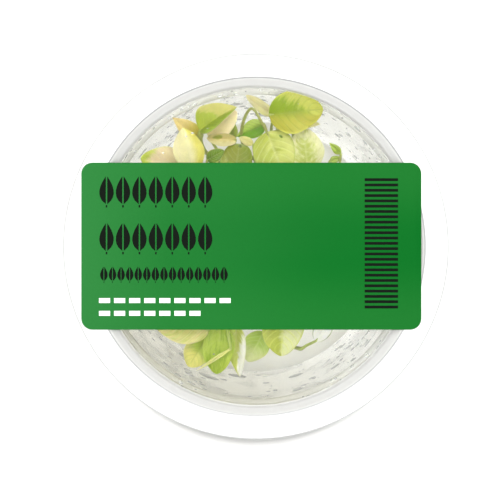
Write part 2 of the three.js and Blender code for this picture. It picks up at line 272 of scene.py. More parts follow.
def eased(profile: Profile, radius: float, steps: int = 4) -> Profile:
    """Rounds a profile's corners, apart from its two ends.

    Args:
        profile: radius and height of each corner.
        radius: how far from a corner its curve starts, at most.
        steps: the curve's parts.

    Returns:
        The profile with a short curve at each corner.
    """
    made = [profile[0]]
    for before, corner, after in zip(profile, profile[1:], profile[2:]):
        middle = Vector(corner)
        back = Vector(before) - middle
        ahead = Vector(after) - middle
        cut = min(radius, 0.45 * back.length, 0.45 * ahead.length)
        start = middle + back.normalized() * cut
        end = middle + ahead.normalized() * cut
        for step in range(steps + 1):
            t = step / steps
            made.append(tuple(start * (1 - t) ** 2 + middle * 2 * t * (1 - t) + end * t**2))
    return [*made, profile[-1]]


def rings(profile: Profile, sides: int) -> list[Vec]:
    """Turns the points of a profile about the axis.

    Args:
        profile: radius and height of each point.
        sides: how many points a turn has.

    Returns:
        The points, ring by ring.
    """
    points = []
    for radius, height in profile:
        for side in range(sides):
            angle = math.tau * side / sides
            points.append((radius * math.cos(angle), radius * math.sin(angle), height))
    return points


def ring_faces(count: int, sides: int, start: int = 0) -> Faces:
    """Joins rings of points by four-sided faces.

    Args:
        count: how many rings there are.
        sides: how many points a ring has.
        start: the place of the first point.

    Returns:
        The faces.
    """
    faces = []
    for ring in range(start, start + (count - 1) * sides, sides):
        for side in range(sides):
            a, b = ring + side, ring + (side + 1) % sides
            faces.append([a, b, b + sides, a + sides])
    return faces


def turned(
    profile: Profile, steps: int, choose: Callable[[float, float], int] = lambda r, z: 0
) -> tuple[list[Vec], Faces, list[int]]:
    """Turns a profile that starts and ends on the axis into a closed shell.

    Args:
        profile: radius and height of each point.
        steps: how many parts a turn has.
        choose: gives the material of a face from its middle's radius and height.

    Returns:
        The points, the faces and each face's material.
    """
    points = [(0.0, 0.0, profile[0][1]), *rings(profile[1:-1], steps), (0.0, 0.0, profile[-1][1])]
    count = len(profile) - 2
    top = 1 + (count - 1) * steps
    faces = ring_faces(count, steps, 1)
    marks = []
    for (r1, z1), (r2, z2) in zip(profile[1:-2], profile[2:-1]):
        marks += [choose((r1 + r2) / 2, (z1 + z2) / 2)] * steps
    for step in range(steps):
        after = (step + 1) % steps
        faces.append([0, 1 + step, 1 + after])
        faces.append([top + step, len(points) - 1, top + after])
        marks += [choose(radius / 2, height) for radius, height in (profile[1], profile[-2])]
    return points, faces, marks


def tube(route: Sequence[Vector], radii: Sequence[float], sides: int) -> tuple[list[Vector], Faces]:
    """Makes a closed round tube along a route.

    Args:
        route: the middle of each ring.
        radii: the radius of each ring.
        sides: how many sides a ring has.

    Returns:
        The points and the faces.
    """
    points: list[Vector] = []
    first = (route[1] - route[0]).normalized()
    side = first.orthogonal().normalized()
    for i, (centre, radius) in enumerate(zip(route, radii)):
        ahead = (route[min(i + 1, len(route) - 1)] - route[max(i - 1, 0)]).normalized()
        side = (side - ahead * side.dot(ahead)).normalized()
        up = ahead.cross(side)
        for step in range(sides):
            angle = math.tau * step / sides
            points.append(centre + side * (radius * math.cos(angle)) + up * (radius * math.sin(angle)))
    ends = [list(range(sides))[::-1], list(range(len(points) - sides, len(points)))]
    return points, [ends[0], *ring_faces(len(route), sides), ends[1]]


def spline(corners: Sequence[Vector], parts: int) -> list[Vector]:
    """Runs a uniform Catmull-Rom curve through corners.

    Args:
        corners: the points that the curve passes through.
        parts: how many parts the curve has between two corners.

    Returns:
        The curve's points.
    """
    padded = [corners[0] * 2 - corners[1], *corners, corners[-1] * 2 - corners[-2]]
    made: list[Vector] = []
    for p0, p1, p2, p3 in zip(padded, padded[1:], padded[2:], padded[3:]):
        for part in range(parts):
            t = part / parts
            slope = (p2 - p0) * (0.5 * t)
            bend = (p0 * 2 - p1 * 5 + p2 * 4 - p3) * (0.5 * t * t)
            made.append(p1 + slope + bend + (p1 * 3 - p0 - p2 * 3 + p3) * (0.5 * t * t * t))
    return [*made, corners[-1]]


# Finishes


@dataclass(frozen=True)
class ClearPolypropylene:
    """Thin moulded clear polypropylene: see-through, faintly milky, with slow waves from moulding."""

    name: str = "polypropylene_clear"
    colour: str = "#fbfbf9"
    roughness: float = 0.03
    wave_mm: float = 14.0
    wave_depth_mm: float = 0.02
    ior: float = 1.4
    clearness: float = 1.0

    def material(self) -> bpy.types.Material:
        """The finished material."""
        made, tree, place_on = new_material(self.name)
        waves = add(tree, NOISE, {"Vector": place_on, "Scale": 1 / (self.wave_mm * MM), "Detail": 2.0})
        bump = add(tree, BUMP, {"Height": waves, "Strength": 1.0, "Distance": self.wave_depth_mm * MM})
        surface(tree, {
            "Base Color": linear(self.colour), "Roughness": self.roughness, "IOR": self.ior,
            "Transmission Weight": self.clearness, "Normal": bump,
        })
        return made


@dataclass(frozen=True)
class MistedPolypropylene:
    """The cup's inner wall under a fine mist: clear plastic that blurs and mottles what is behind it,
    darkened towards the front left by painted shade.
    """

    name: str = "polypropylene_misted"
    colour: str = "#f8f8f5"
    shade_colour: str = "#d0cdbe"
    clearness: float = 0.93
    gloss: Pair = (0.1, 0.28)
    shade_towards: Vec = (-0.75, -0.66, 0.0)
    shade_mm: Pair = (-10.0, 40.0)
    bead_mm: float = 1.1
    bead_depth_mm: float = 0.03

    def material(self) -> bpy.types.Material:
        """The finished material. Beads lie closer where the slow noise is high."""
        made, tree, place_on = new_material(self.name)
        beads = add(tree, "ShaderNodeTexVoronoi", {
            "Vector": place_on, "Scale": 1 / (self.bead_mm * MM)
        }, feature="SMOOTH_F1")
        patches = add(tree, NOISE, {"Vector": place_on, "Scale": 90.0, "Detail": 3.0})
        cover = add(tree, RANGE, {"Value": patches, "From Min": 0.4, "From Max": 0.62}, **SMOOTH)
        height = add(tree, MATH, {0: beads, 1: cover}, **TIMES)
        bump = add(tree, BUMP, {"Height": height, "Strength": 0.8, "Distance": self.bead_depth_mm * MM})
        rough = add(tree, RANGE, {"Value": cover, "To Min": self.gloss[0], "To Max": self.gloss[1]})
        # Painted shade: the colour darkens towards the front left, where the plants shade the wall.
        towards = add(tree, VECTOR_MATH, {0: place_on, 1: self.shade_towards}, **TOWARDS).outputs["Value"]
        start, end = self.shade_mm
        thick = add(tree, RANGE, {"Value": towards, "From Min": start * MM, "From Max": end * MM}, **SMOOTH)
        colour = add(tree, MIX, {0: thick, 6: linear(self.colour), 7: linear(self.shade_colour)}, **COLOUR)
        surface(tree, {
            "Base Color": colour.outputs[2], "Roughness": rough, "IOR": 1.2,
            "Transmission Weight": self.clearness, "Normal": bump,
        })
        return made


@dataclass(frozen=True)
class MilkyPolypropylene:
    """The lid's thick rim: white milky polypropylene with a soft gloss, and painted shade that greys its
    outer edge.
    """

    name: str = "polypropylene_milky"
    colour: str = "#e5e6e5"
    clearness: float = 0.0
    clear_inside: Pair | None = None
    edge_shade_colour: str = "#a6a7a6"
    edge: Pair = (1000.0, 0.0)
    edge_width: float = 0.4
    grain_mm: float = 0.8
    mottle: float = 0.02

    def material(self) -> bpy.types.Material:
        """The finished material. Painted shade greys it outside its edge, and it clears towards a smaller
        radius.
        """
        made, tree, place_on = new_material(self.name)
        level = add(tree, "ShaderNodeMapping", {"Vector": place_on, "Scale": (1.0, 1.0, 0.0)})
        away = add(tree, VECTOR_MATH, {0: level}, operation="LENGTH").outputs["Value"]
        height = add(tree, SPLIT, {0: place_on}).outputs[2]
        # Painted shade: grey where the rim rounds over into its skirt.
        thick = None
        for value, full in zip((away, height), self.edge):
            start = (full - self.edge_width) * MM
            part = add(tree, RANGE, {"Value": value, "From Min": start, "From Max": full * MM}, **SMOOTH)
            thick = add(tree, MATH, {0: thick, 1: part}, **TIMES) if thick else part
        colour = add(tree, MIX, {0: thick, 6: linear(self.colour), 7: linear(self.edge_shade_colour)}, **COLOUR)
        grain = add(tree, NOISE, {"Vector": place_on, "Scale": 1 / (self.grain_mm * MM), "Detail": 3.0})
        rough = add(tree, RANGE, {"Value": grain, "To Min": 0.26, "To Max": 0.36})
        cloud = add(tree, NOISE, {"Vector": place_on, "Scale": 480.0, "Detail": 3.0})
        tint = add(tree, RANGE, {
            "Value": cloud, "From Min": 0.35, "From Max": 0.65, "To Min": 1 - self.mottle, "To Max": 1.0
        })
        tinted = add(tree, TINT, {"Color": colour.outputs[2], "Value": tint})
        bump = add(tree, BUMP, {"Height": grain, "Strength": 0.15, "Distance": 0.02 * MM})
        clear = self.clearness
        if self.clear_inside:
            start, end = self.clear_inside
            clear = add(tree, RANGE, {
                "Value": away, "From Min": start * MM, "From Max": end * MM, "To Min": 1.0,
                "To Max": self.clearness,
            }, **SMOOTH)
        surface(tree, {
            "Base Color": tinted, "Roughness": rough, "IOR": 1.49, "Specular IOR Level": 0.35,
            "Transmission Weight": clear, "Subsurface Weight": 0.35, "Subsurface Radius": (1.0, 1.0, 1.0),
            "Subsurface Scale": 1.2 * MM, "Normal": bump,
        })
        return made


@dataclass(frozen=True)
class WaterBead:
    """Condensed water: clear beads with a sharp bright and dark edge."""

    name: str = "water"

    def material(self) -> bpy.types.Material:
        """The finished material."""
        made, tree, _ = new_material(self.name)
        surface(tree, {
            "Base Color": linear("#fdfefe"), "Roughness": 0.0, "IOR": 1.09, "Transmission Weight": 0.72
        })
        return made


@dataclass(frozen=True)
class NutrientGel:
    """Set nutrient gel: cloudy and pale, so that roots fade in it, with a wet sheen on top."""

    name: str = "nutrient_gel"
    clear: str = "#f4f4f1"
    cloud: str = "#eeede6"
    cloud_mm: float = 9.0

    def material(self) -> bpy.types.Material:
        """The finished material."""
        made, tree, place_on = new_material(self.name)
        clouds = add(tree, NOISE, {
            "Vector": place_on, "Scale": 1 / (self.cloud_mm * MM), "Detail": 4.0, "Roughness": 0.6
        })
        colour = add(tree, MIX, {0: clouds, 6: linear(self.clear), 7: linear(self.cloud)}, **COLOUR)
        bump = add(tree, BUMP, {"Height": clouds, "Strength": 0.3, "Distance": 0.4 * MM})
        surface(tree, {
            "Base Color": colour.outputs[2], "Roughness": 0.45, "IOR": 1.05, "Transmission Weight": 0.55,
            "Subsurface Weight": 0.3, "Subsurface Radius": (1.0, 0.95, 0.85), "Subsurface Scale": 3.0 * MM,
            "Coat Weight": 0.6, "Coat Roughness": 0.04, "Coat IOR": 1.33, "Normal": bump,
        })
        return made


@dataclass(frozen=True)
class LabelFilm:
    """Green printed label film: an even satin sheet, with a painted sheen that lightens its green towards
    one end, and lighter along both sides.
    """

    name: str = "label_film_green"
    deep: str = "#0a621f"
    side: str = "#1b6b28"
    light: str = "#2c7537"
    sheen_fades: tuple[Vec, ...] = ((-53.0, -26.0, 0.62), (-30.0, 25.0, 0.38))
    side_y: Pair = (3.0, 24.0)
    grain_mm: float = 0.5

    def material(self) -> bpy.types.Material:
        """The finished material. A painted sheen fades from the light green to the deep one in two steps
        along the label.
        """
        made, tree, place_on = new_material(self.name)
        x, y, _ = add(tree, SPLIT, {0: place_on}).outputs
        # Painted sheen: the green is lighter towards the label's left end.
        painted_sheen = None
        for start, end, share in self.sheen_fades:
            part = add(tree, RANGE, {
                "Value": x, "From Min": start * MM, "From Max": end * MM, "To Max": share
            }, interpolation_type="SMOOTHSTEP" if painted_sheen else "LINEAR")
            painted_sheen = add(tree, MATH, {0: part, 1: painted_sheen}) if painted_sheen else part
        aside = add(tree, MATH, {0: y}, operation="ABSOLUTE")
        start, end = self.side_y
        near = add(tree, RANGE, {"Value": aside, "From Min": start * MM, "From Max": end * MM}, **SMOOTH)
        body = add(tree, MIX, {0: near, 6: linear(self.deep), 7: linear(self.side)}, **COLOUR)
        colour = add(tree, MIX, {0: painted_sheen, 6: linear(self.light), 7: body.outputs[2]}, **COLOUR)
        grain = add(tree, NOISE, {"Vector": place_on, "Scale": 1 / (self.grain_mm * MM), "Detail": 4.0})
        tint = add(tree, RANGE, {"Value": grain, "To Min": 0.94, "To Max": 1.06})
        shade = add(tree, TINT, {"Color": colour.outputs[2], "Value": tint})
        rough = add(tree, RANGE, {"Value": grain, "To Min": 0.42, "To Max": 0.54})
        bump = add(tree, BUMP, {"Height": grain, "Strength": 0.2, "Distance": 0.01 * MM})
        surface(tree, {"Base Color": shade, "Roughness": rough, "Specular IOR Level": 0.02, "Normal": bump})
        return made


@dataclass(frozen=True)
class PrintInk:
    """Ink on the label: flat and nearly matt, a little uneven at the size of paper grain."""

    name: str
    colour: str
    worn: str
    grain_mm: float = 0.35

    def material(self) -> bpy.types.Material:
        """The finished material."""
        made, tree, place_on = new_material(self.name)
        grain = add(tree, NOISE, {"Vector": place_on, "Scale": 1 / (self.grain_mm * MM), "Detail": 3.0})
        colour = add(tree, MIX, {0: grain, 6: linear(self.colour), 7: linear(self.worn)}, **COLOUR)
        surface(tree, {"Base Color": colour.outputs[2], "Roughness": 0.55, "Specular IOR Level": 0.04})
        return made


@dataclass(frozen=True)
class StemTissue:
    """Living stem or root: smooth and moist, lighter in streaks along it."""

    name: str
    colour: str
    streak: str
    streak_mm: float = 0.5

    def material(self) -> bpy.types.Material:
        """The finished material."""
        made, tree, place_on = new_material(self.name)
        stretched = add(tree, "ShaderNodeMapping", {"Vector": place_on, "Scale": (1.0, 1.0, 0.2)})
        streaks = add(tree, NOISE, {"Vector": stretched, "Scale": 1 / (self.streak_mm * MM), "Detail": 3.0})
        colour = add(tree, MIX, {0: streaks, 6: linear(self.colour), 7: linear(self.streak)}, **COLOUR)
        bump = add(tree, BUMP, {"Height": streaks, "Strength": 0.3, "Distance": 0.05 * MM})
        surface(tree, {
            "Base Color": colour.outputs[2], "Roughness": 0.4, "Subsurface Weight": 0.25,
            "Subsurface Radius": (0.7, 1.0, 0.3), "Subsurface Scale": 0.6 * MM, "Normal": bump,
        })
        return made


@dataclass(frozen=True)
class LeafTissue:
    """A variegated leaf's tissue: where its second colour lies, and how its veins show.

    The second colour shows where cut + across * w + along * (2u - 1) + edge * |w| plus the marbling
    noise is above nought. u runs from the blade's base to its tip and w from its left edge, -1, to
    its right edge, 1. The flank colour covers the right half, and a spot lies at one place.
    """

    ground: str
    second: str
    cut: float = -0.2
    across: float = 0.0
    along: float = 0.0
    edge: float = 0.0
    marble: float = 1.0
    soft: float = 0.18
    streak: float = 3.0
    grain_mm: float = 1.6
    vein: str = "#e4e9b4"
    vein_strength: float = 0.25
    flank: str | None = None
    flank_w: Pair = (-0.2, 0.45)
    # The rim colour is partly the margin's own colour and partly painted light along the edge: a painted
    # highlight where it is lighter than the blade, painted edge shade where it is darker.
    rim: str = "#e2e6a0"
    rim_strength: float = 0.35
    spot: str | None = None
    spot_at: Pair = (0.5, 0.0)
    spot_size: Pair = (0.2, 0.4)
    spot_fray: float = 1.0
    spot_soft: float = 0.28
    vein_pairs: float = 7.0
    seed: float = 0.0

    def material(self, name: str, length: float, width: float) -> bpy.types.Material:
        """Makes the tissue's material for one blade: its marbling, spot, veins, rim and fine cells, the rim
        being partly painted light.

        Args:
            name: the material's name.
            length: the blade's length in millimetres.
            width: the blade's width in millimetres.

        Returns:
            The finished material. It reads the blade's own map: u along it and v across it.
        """
        made, tree, place_on = new_material(name)
        u, v, _ = add(tree, SPLIT, {0: add(tree, "ShaderNodeUVMap", uv_map=BLADE_MAP)}).outputs
        w = add(tree, MATH, {0: v, 1: 2.0, 2: -1.0}, **TIMES_ADD)
        off = add(tree, MATH, {0: w}, operation="ABSOLUTE")
        bend = add(tree, MATH, {0: off, 1: VEIN_BEND}, operation="POWER")
        lane = add(tree, MATH, {0: bend, 1: -VEIN_SLANT, 2: u}, **TIMES_ADD)
        along_vein = add(tree, "ShaderNodeCombineXYZ", {0: lane, 1: w, 2: self.seed})
        fine = (length / self.grain_mm, 0.5 * width / (self.grain_mm * self.streak), 1.0)
        grain = add(tree, "ShaderNodeMapping", {"Vector": along_vein, "Scale": fine})
        marbling = add(tree, NOISE, {
            "Vector": grain, "Scale": 1.0, "Detail": 4.0, "Roughness": 0.62, "Distortion": 0.4
        })
        shares = ((w, self.across), (u, 2 * self.along), (off, self.edge), (marbling, self.marble))
        lean = self.cut - self.along - 0.5 * self.marble
        for source, share in shares:
            lean = add(tree, MATH, {0: source, 1: share, 2: lean}, **TIMES_ADD)
        second = add(tree, RANGE, {"Value": lean, "From Min": -self.soft, "From Max": self.soft}, **SMOOTH)
        start, end = self.flank_w
        right = add(tree, RANGE, {"Value": w, "From Min": start, "From Max": end}, **SMOOTH)
        layers = [(right, self.flank or self.ground), (second, self.second)]
        if self.spot:
            layers.append((self.spot_cover(tree, place_on, u, w, marbling), self.spot))

        lanes = add(tree, MATH, {0: lane, 1: self.vein_pairs}, **TIMES)
        swing = add(tree, MATH, {0: lanes, 1: 0.5}, operation="PINGPONG")
        side_vein = add(
            tree, RANGE, {"Value": swing, "From Min": 0.2, "From Max": 0.0, "To Max": 0.8}, **SMOOTH
        )
        midrib = add(tree, RANGE, {"Value": off, "From Min": 0.09, "From Max": 0.02}, **SMOOTH)
        veins = add(tree, MATH, {0: side_vein, 1: midrib}, operation="MAXIMUM")
        shown = add(tree, MATH, {0: veins, 1: self.vein_strength}, **TIMES)
        # Painted light along the edge: the rim colour stands partly for the margin's own colour, and partly
        # for a highlight where lighter and edge shade where darker.
        margin_and_edge_light = add(tree, RANGE, {
            "Value": off, "From Min": 0.86, "From Max": 0.99, "To Max": self.rim_strength
        }, **SMOOTH)
        layers += [(shown, self.vein), (margin_and_edge_light, self.rim)]
        colour = linear(self.ground)
        for cover, over in layers:
            colour = add(tree, MIX, {0: cover, 6: colour, 7: linear(over)}, **COLOUR).outputs[2]

        cells = add(tree, NOISE, {"Vector": place_on, "Scale": 1400.0, "Detail": 3.0})
        mottle = add(tree, NOISE, {"Vector": place_on, "Scale": 420.0, "Detail": 3.0})
        light = add(tree, RANGE, {
            "Value": mottle, "From Min": 0.3, "From Max": 0.7, "To Min": 0.93, "To Max": 1.05
        })
        relief = add(tree, MATH, {0: veins, 1: -1.0, 2: marbling}, **TIMES_ADD)
        relief = add(tree, MATH, {0: cells, 1: 0.25, 2: relief}, **TIMES_ADD)
        surface(tree, {
            "Base Color": add(tree, TINT, {"Color": colour, "Value": light}),
            "Roughness": add(tree, RANGE, {"Value": cells, "To Min": 0.34, "To Max": 0.5}),
            "IOR": 1.42, "Specular IOR Level": 0.4, "Subsurface Weight": 0.3,
            "Subsurface Radius": (0.8, 1.0, 0.35), "Subsurface Scale": 0.9 * MM,
            "Normal": add(tree, BUMP, {"Height": relief, "Strength": 0.6, "Distance": 0.07 * MM}),
        })
        return made

    def spot_cover(
        self, tree: bpy.types.NodeTree, place_on: bpy.types.NodeSocket, u: bpy.types.NodeSocket,
        w: bpy.types.Node, marbling: bpy.types.Node,
    ) -> bpy.types.Node:
        """Says how much the spot covers.

        Args:
            tree: the material's tree.
            place_on: the place on the object.
            u: the share along the blade.
            w: the share across it, from -1 to 1.
            marbling: the noise that frays the spot's edge.

        Returns:
            The cover, from nought to one.
        """
        here = add(tree, "ShaderNodeCombineXYZ", {0: u, 1: w, 2: 0.0})
        (at_u, at_w), (long, wide) = self.spot_at, self.spot_size
        away = add(tree, "ShaderNodeMapping", {
            "Vector": here, "Location": (-at_u / long, -at_w / wide, 0.0),
            "Scale": (1 / long, 1 / wide, 1.0),
        })
        far = add(tree, VECTOR_MATH, {0: away}, operation="LENGTH").outputs["Value"]
        speckle = add(tree, NOISE, {"Vector": place_on, "Scale": 900.0, "Detail": 2.0})
        both = add(tree, MATH, {0: marbling, 1: speckle})
        frayed = add(tree, MATH, {0: both, 1: self.spot_fray, 2: far}, **TIMES_ADD)
        edge = self.spot_fray + 0.88
        return add(tree, RANGE, {
            "Value": frayed, "From Min": edge + self.spot_soft, "From Max": edge - self.spot_soft
        }, **SMOOTH)


# The lidded cup


@dataclass
class Lid:
    """The snap lid: a clear recessed window, a broad milky rim and a skirt with a bead inside."""

    radius: float = 59.0
    top: float = 52.0
    window: float = 51.8
    recess: float = 1.6
    skirt: float = 7.5
    wall: float = 0.9
    flange: float = 57.3
    slope: float = 48.5
    slope_hazy: float = 49.75
    lip: Pair = (51.5, 52.0)
    steps: int = 200

    def profile(self) -> Profile:
        """The lid's section, from its top on the axis round to its underside on the axis."""
        panel = self.top - self.recess
        under = panel - self.wall
        rim_under = self.top - 1.1
        foot = self.top - self.skirt
        inside = self.radius - self.wall
        return [
            (0, panel), (self.window - 2.9, panel), (self.window - 2.1, panel + 0.3),
            (self.window - 0.7, self.top - 0.2), (self.window, self.top), (self.radius - 1.3, self.top),
            (self.radius - 0.3, self.top - 0.4), (self.radius, self.top - 1.2), (self.radius, foot),
            (inside, foot), (self.flange - 0.3, foot + 0.7), (self.flange - 0.3, foot + 1.1),
            (inside, foot + 2.1), (inside, rim_under - 0.6), (inside - 0.5, rim_under),
            (self.window - 0.8, rim_under), (self.window - 1.6, under + 0.6), (self.window - 2.6, under),
            (0, under),
        ]

    def zone(self, radius: float, _: float) -> int:
        """Nought in the window, two on the well's slope, three on its lip, which is painted grey as shade,
        one on the rim.
        """
        if radius < self.slope:
            return 0
        if radius < self.lip[0]:
            return 2
        return 3 if radius < self.lip[1] else 1

    def build(self) -> None:
        """Builds the lid, clear in its window and milky outside it."""
        points, faces, marks = turned(eased(self.profile(), 0.45), self.steps, self.zone)
        # The rim's finish paints shade at its outer edge, and the lip's grey finish paints the shade line
        # at the window's edge.
        finishes = (
            ClearPolypropylene(), MilkyPolypropylene(edge=(self.radius - 0.1, self.top - 0.9)),
            MilkyPolypropylene("polypropylene_hazy", "#cfcfcc", 0.08, (self.slope, self.slope_hazy)),
            MilkyPolypropylene("polypropylene_lip_shade", "#a0a1a0"),
        )
        lid = mesh_object("snap_lid", points, faces, [finish.material() for finish in finishes], marks)
        place(lid, "lid_plastic", "lid")


@dataclass
class Cup:
    """The tapered cup: a foot ring, a nesting shoulder, and a flange with a turned-down lip."""

    foot: float = 40.0
    floor: float = 2.1
    wall: float = 0.9
    wall_start: float = 3.2
    inset: float = 0.2
    taper: float = 0.2
    shoulder: float = 40.5
    flange: float = 57.3
    window: float = 51.8
    flange_top: float = 50.6
    steps: int = 200

    def inside(self, height: float) -> float:
        """The wall's inner radius at a height."""
        return self.foot + self.inset + self.taper * (height - self.wall_start)

    def profile(self) -> Profile:
        """The cup's section, from under its floor round to the top of its floor."""
        under = self.flange_top - 1.1
        lip = under - 3.2
        neck = self.inside(self.shoulder + 0.2)
        return [
            (0, 1), (self.foot - 4, 1), (self.foot - 3.2, 0), (self.foot, 0), (self.foot + 1, 1),
            (neck + self.wall, self.shoulder), (neck + 2.3, self.shoulder + 1.1),
            (self.window - 0.4, under), (self.flange - 1, under), (self.flange - 1, lip),
            (self.flange, lip), (self.flange, self.flange_top - 0.4), (self.flange - 0.4, self.flange_top),
            (self.window - 0.6, self.flange_top), (self.window - 1.2, self.flange_top - 0.7),
            (neck + 1.4, self.shoulder + 1.3), (neck, self.shoulder + 0.2),
            (self.foot + self.inset, self.wall_start), (self.foot - 0.8, self.floor), (0, self.floor),
        ]

    def zone(self, radius: float, height: float) -> int:
        """Says which finish a part of the section has.

        Args:
            radius: the part's radius.
            height: its height.

        Returns:
            Two on the flange and the shoulder, three on the neck, one on the misted wall, or nought.
        """
        up = height - self.shoulder
        outside = radius > self.inside(self.shoulder) + 0.45 + 1.1 * up
        if -0.4 < up < (1.6 if outside else 1.05) or height > self.flange_top - 1.3:
            return 2
        if height > self.shoulder - 0.2 and radius < self.window - 1.15:
            return 3
        return int(abs(radius - self.inside(height)) < 0.3 and Gel.top + 1 < height)

    def build(self) -> bpy.types.Object:
        """Builds the cup, misted on its inner wall above the gel."""
        section = eased(self.profile(), 0.5)
        tall = [point for pair in zip(section, section[1:]) for point in self.divided(*pair)]
        points, faces, marks = turned([*tall, section[-1]], self.steps, self.zone)
        # Each misted finish's second colour is painted shade towards the front left.
        finishes = (
            ClearPolypropylene("polypropylene_cup", ior=1.2, clearness=0.95), MistedPolypropylene(),
            MistedPolypropylene("polypropylene_cloudy", "#f1f1ee", "#dedcd1", 0.1, (0.4, 0.5)),
            MistedPolypropylene("polypropylene_veiled", "#fbfbf9", "#f0efe8", 0.6, (0.4, 0.5)),
        )
        cup = mesh_object("culture_cup", points, faces, [finish.material() for finish in finishes], marks)
        return place(cup, "clear_plastic", "cup")

    @staticmethod
    def divided(start: Pair, end: Pair) -> Profile:
        """Splits a long part of the section, so that the mist can start part of the way up it.

        Args:
            start: where the part starts.
            end: where it ends, which isn't given back.

        Returns:
            The part's points.
        """
        long = abs(end[1] - start[1])
        parts = 12 if long > 20 else 4 if 0.3 < long < 1.4 else 1
        return [tuple(a + (b - a) * i / parts for a, b in zip(start, end)) for i in range(parts)]


@dataclass
class Gel:
    """The nutrient gel in the cup's bottom: slightly uneven on top, and drawn up at the wall."""

    top: float = 9.2
    floor: float = 2.1
    steps: int = 96
    ring_count: int = 26
    swell: float = 0.25
    swells_per_mm: float = 0.12
    swell_inside: float = 40.0
    climb: float = 0.4
    gap: float = 0.04

    def build(self, cup: Cup) -> bpy.types.Object:
        """Builds the gel inside the cup.

        Args:
            cup: the cup that holds it.

        Returns:
            The gel.
        """
        reach = cup.inside(self.top) - self.gap
        section: Profile = [(0, self.floor + self.gap), (cup.foot - 1.0, self.floor + self.gap)]
        section += [(cup.inside(height) - self.gap, height) for height in (3.5, self.top + 0.75)]
        for ring in range(1, self.ring_count):
            radius = reach * (1 - ring / self.ring_count)
            section.append((radius, self.top + self.climb * math.exp(-(reach - radius) / 1.4)))
        points, faces, _ = turned([*section, (0.0, self.top)], self.steps)
        uneven = []
        for x, y, z in points:
            if z > self.top - 0.01 and math.hypot(x, y) < self.swell_inside:
                z += self.swell * noise.noise(Vector((x, y, 3.0)) * self.swells_per_mm)
            uneven.append((x, y, z))
        gel = mesh_object("nutrient_gel", uneven, faces, [NutrientGel().material()])
        return place(gel, "gel", "gel")


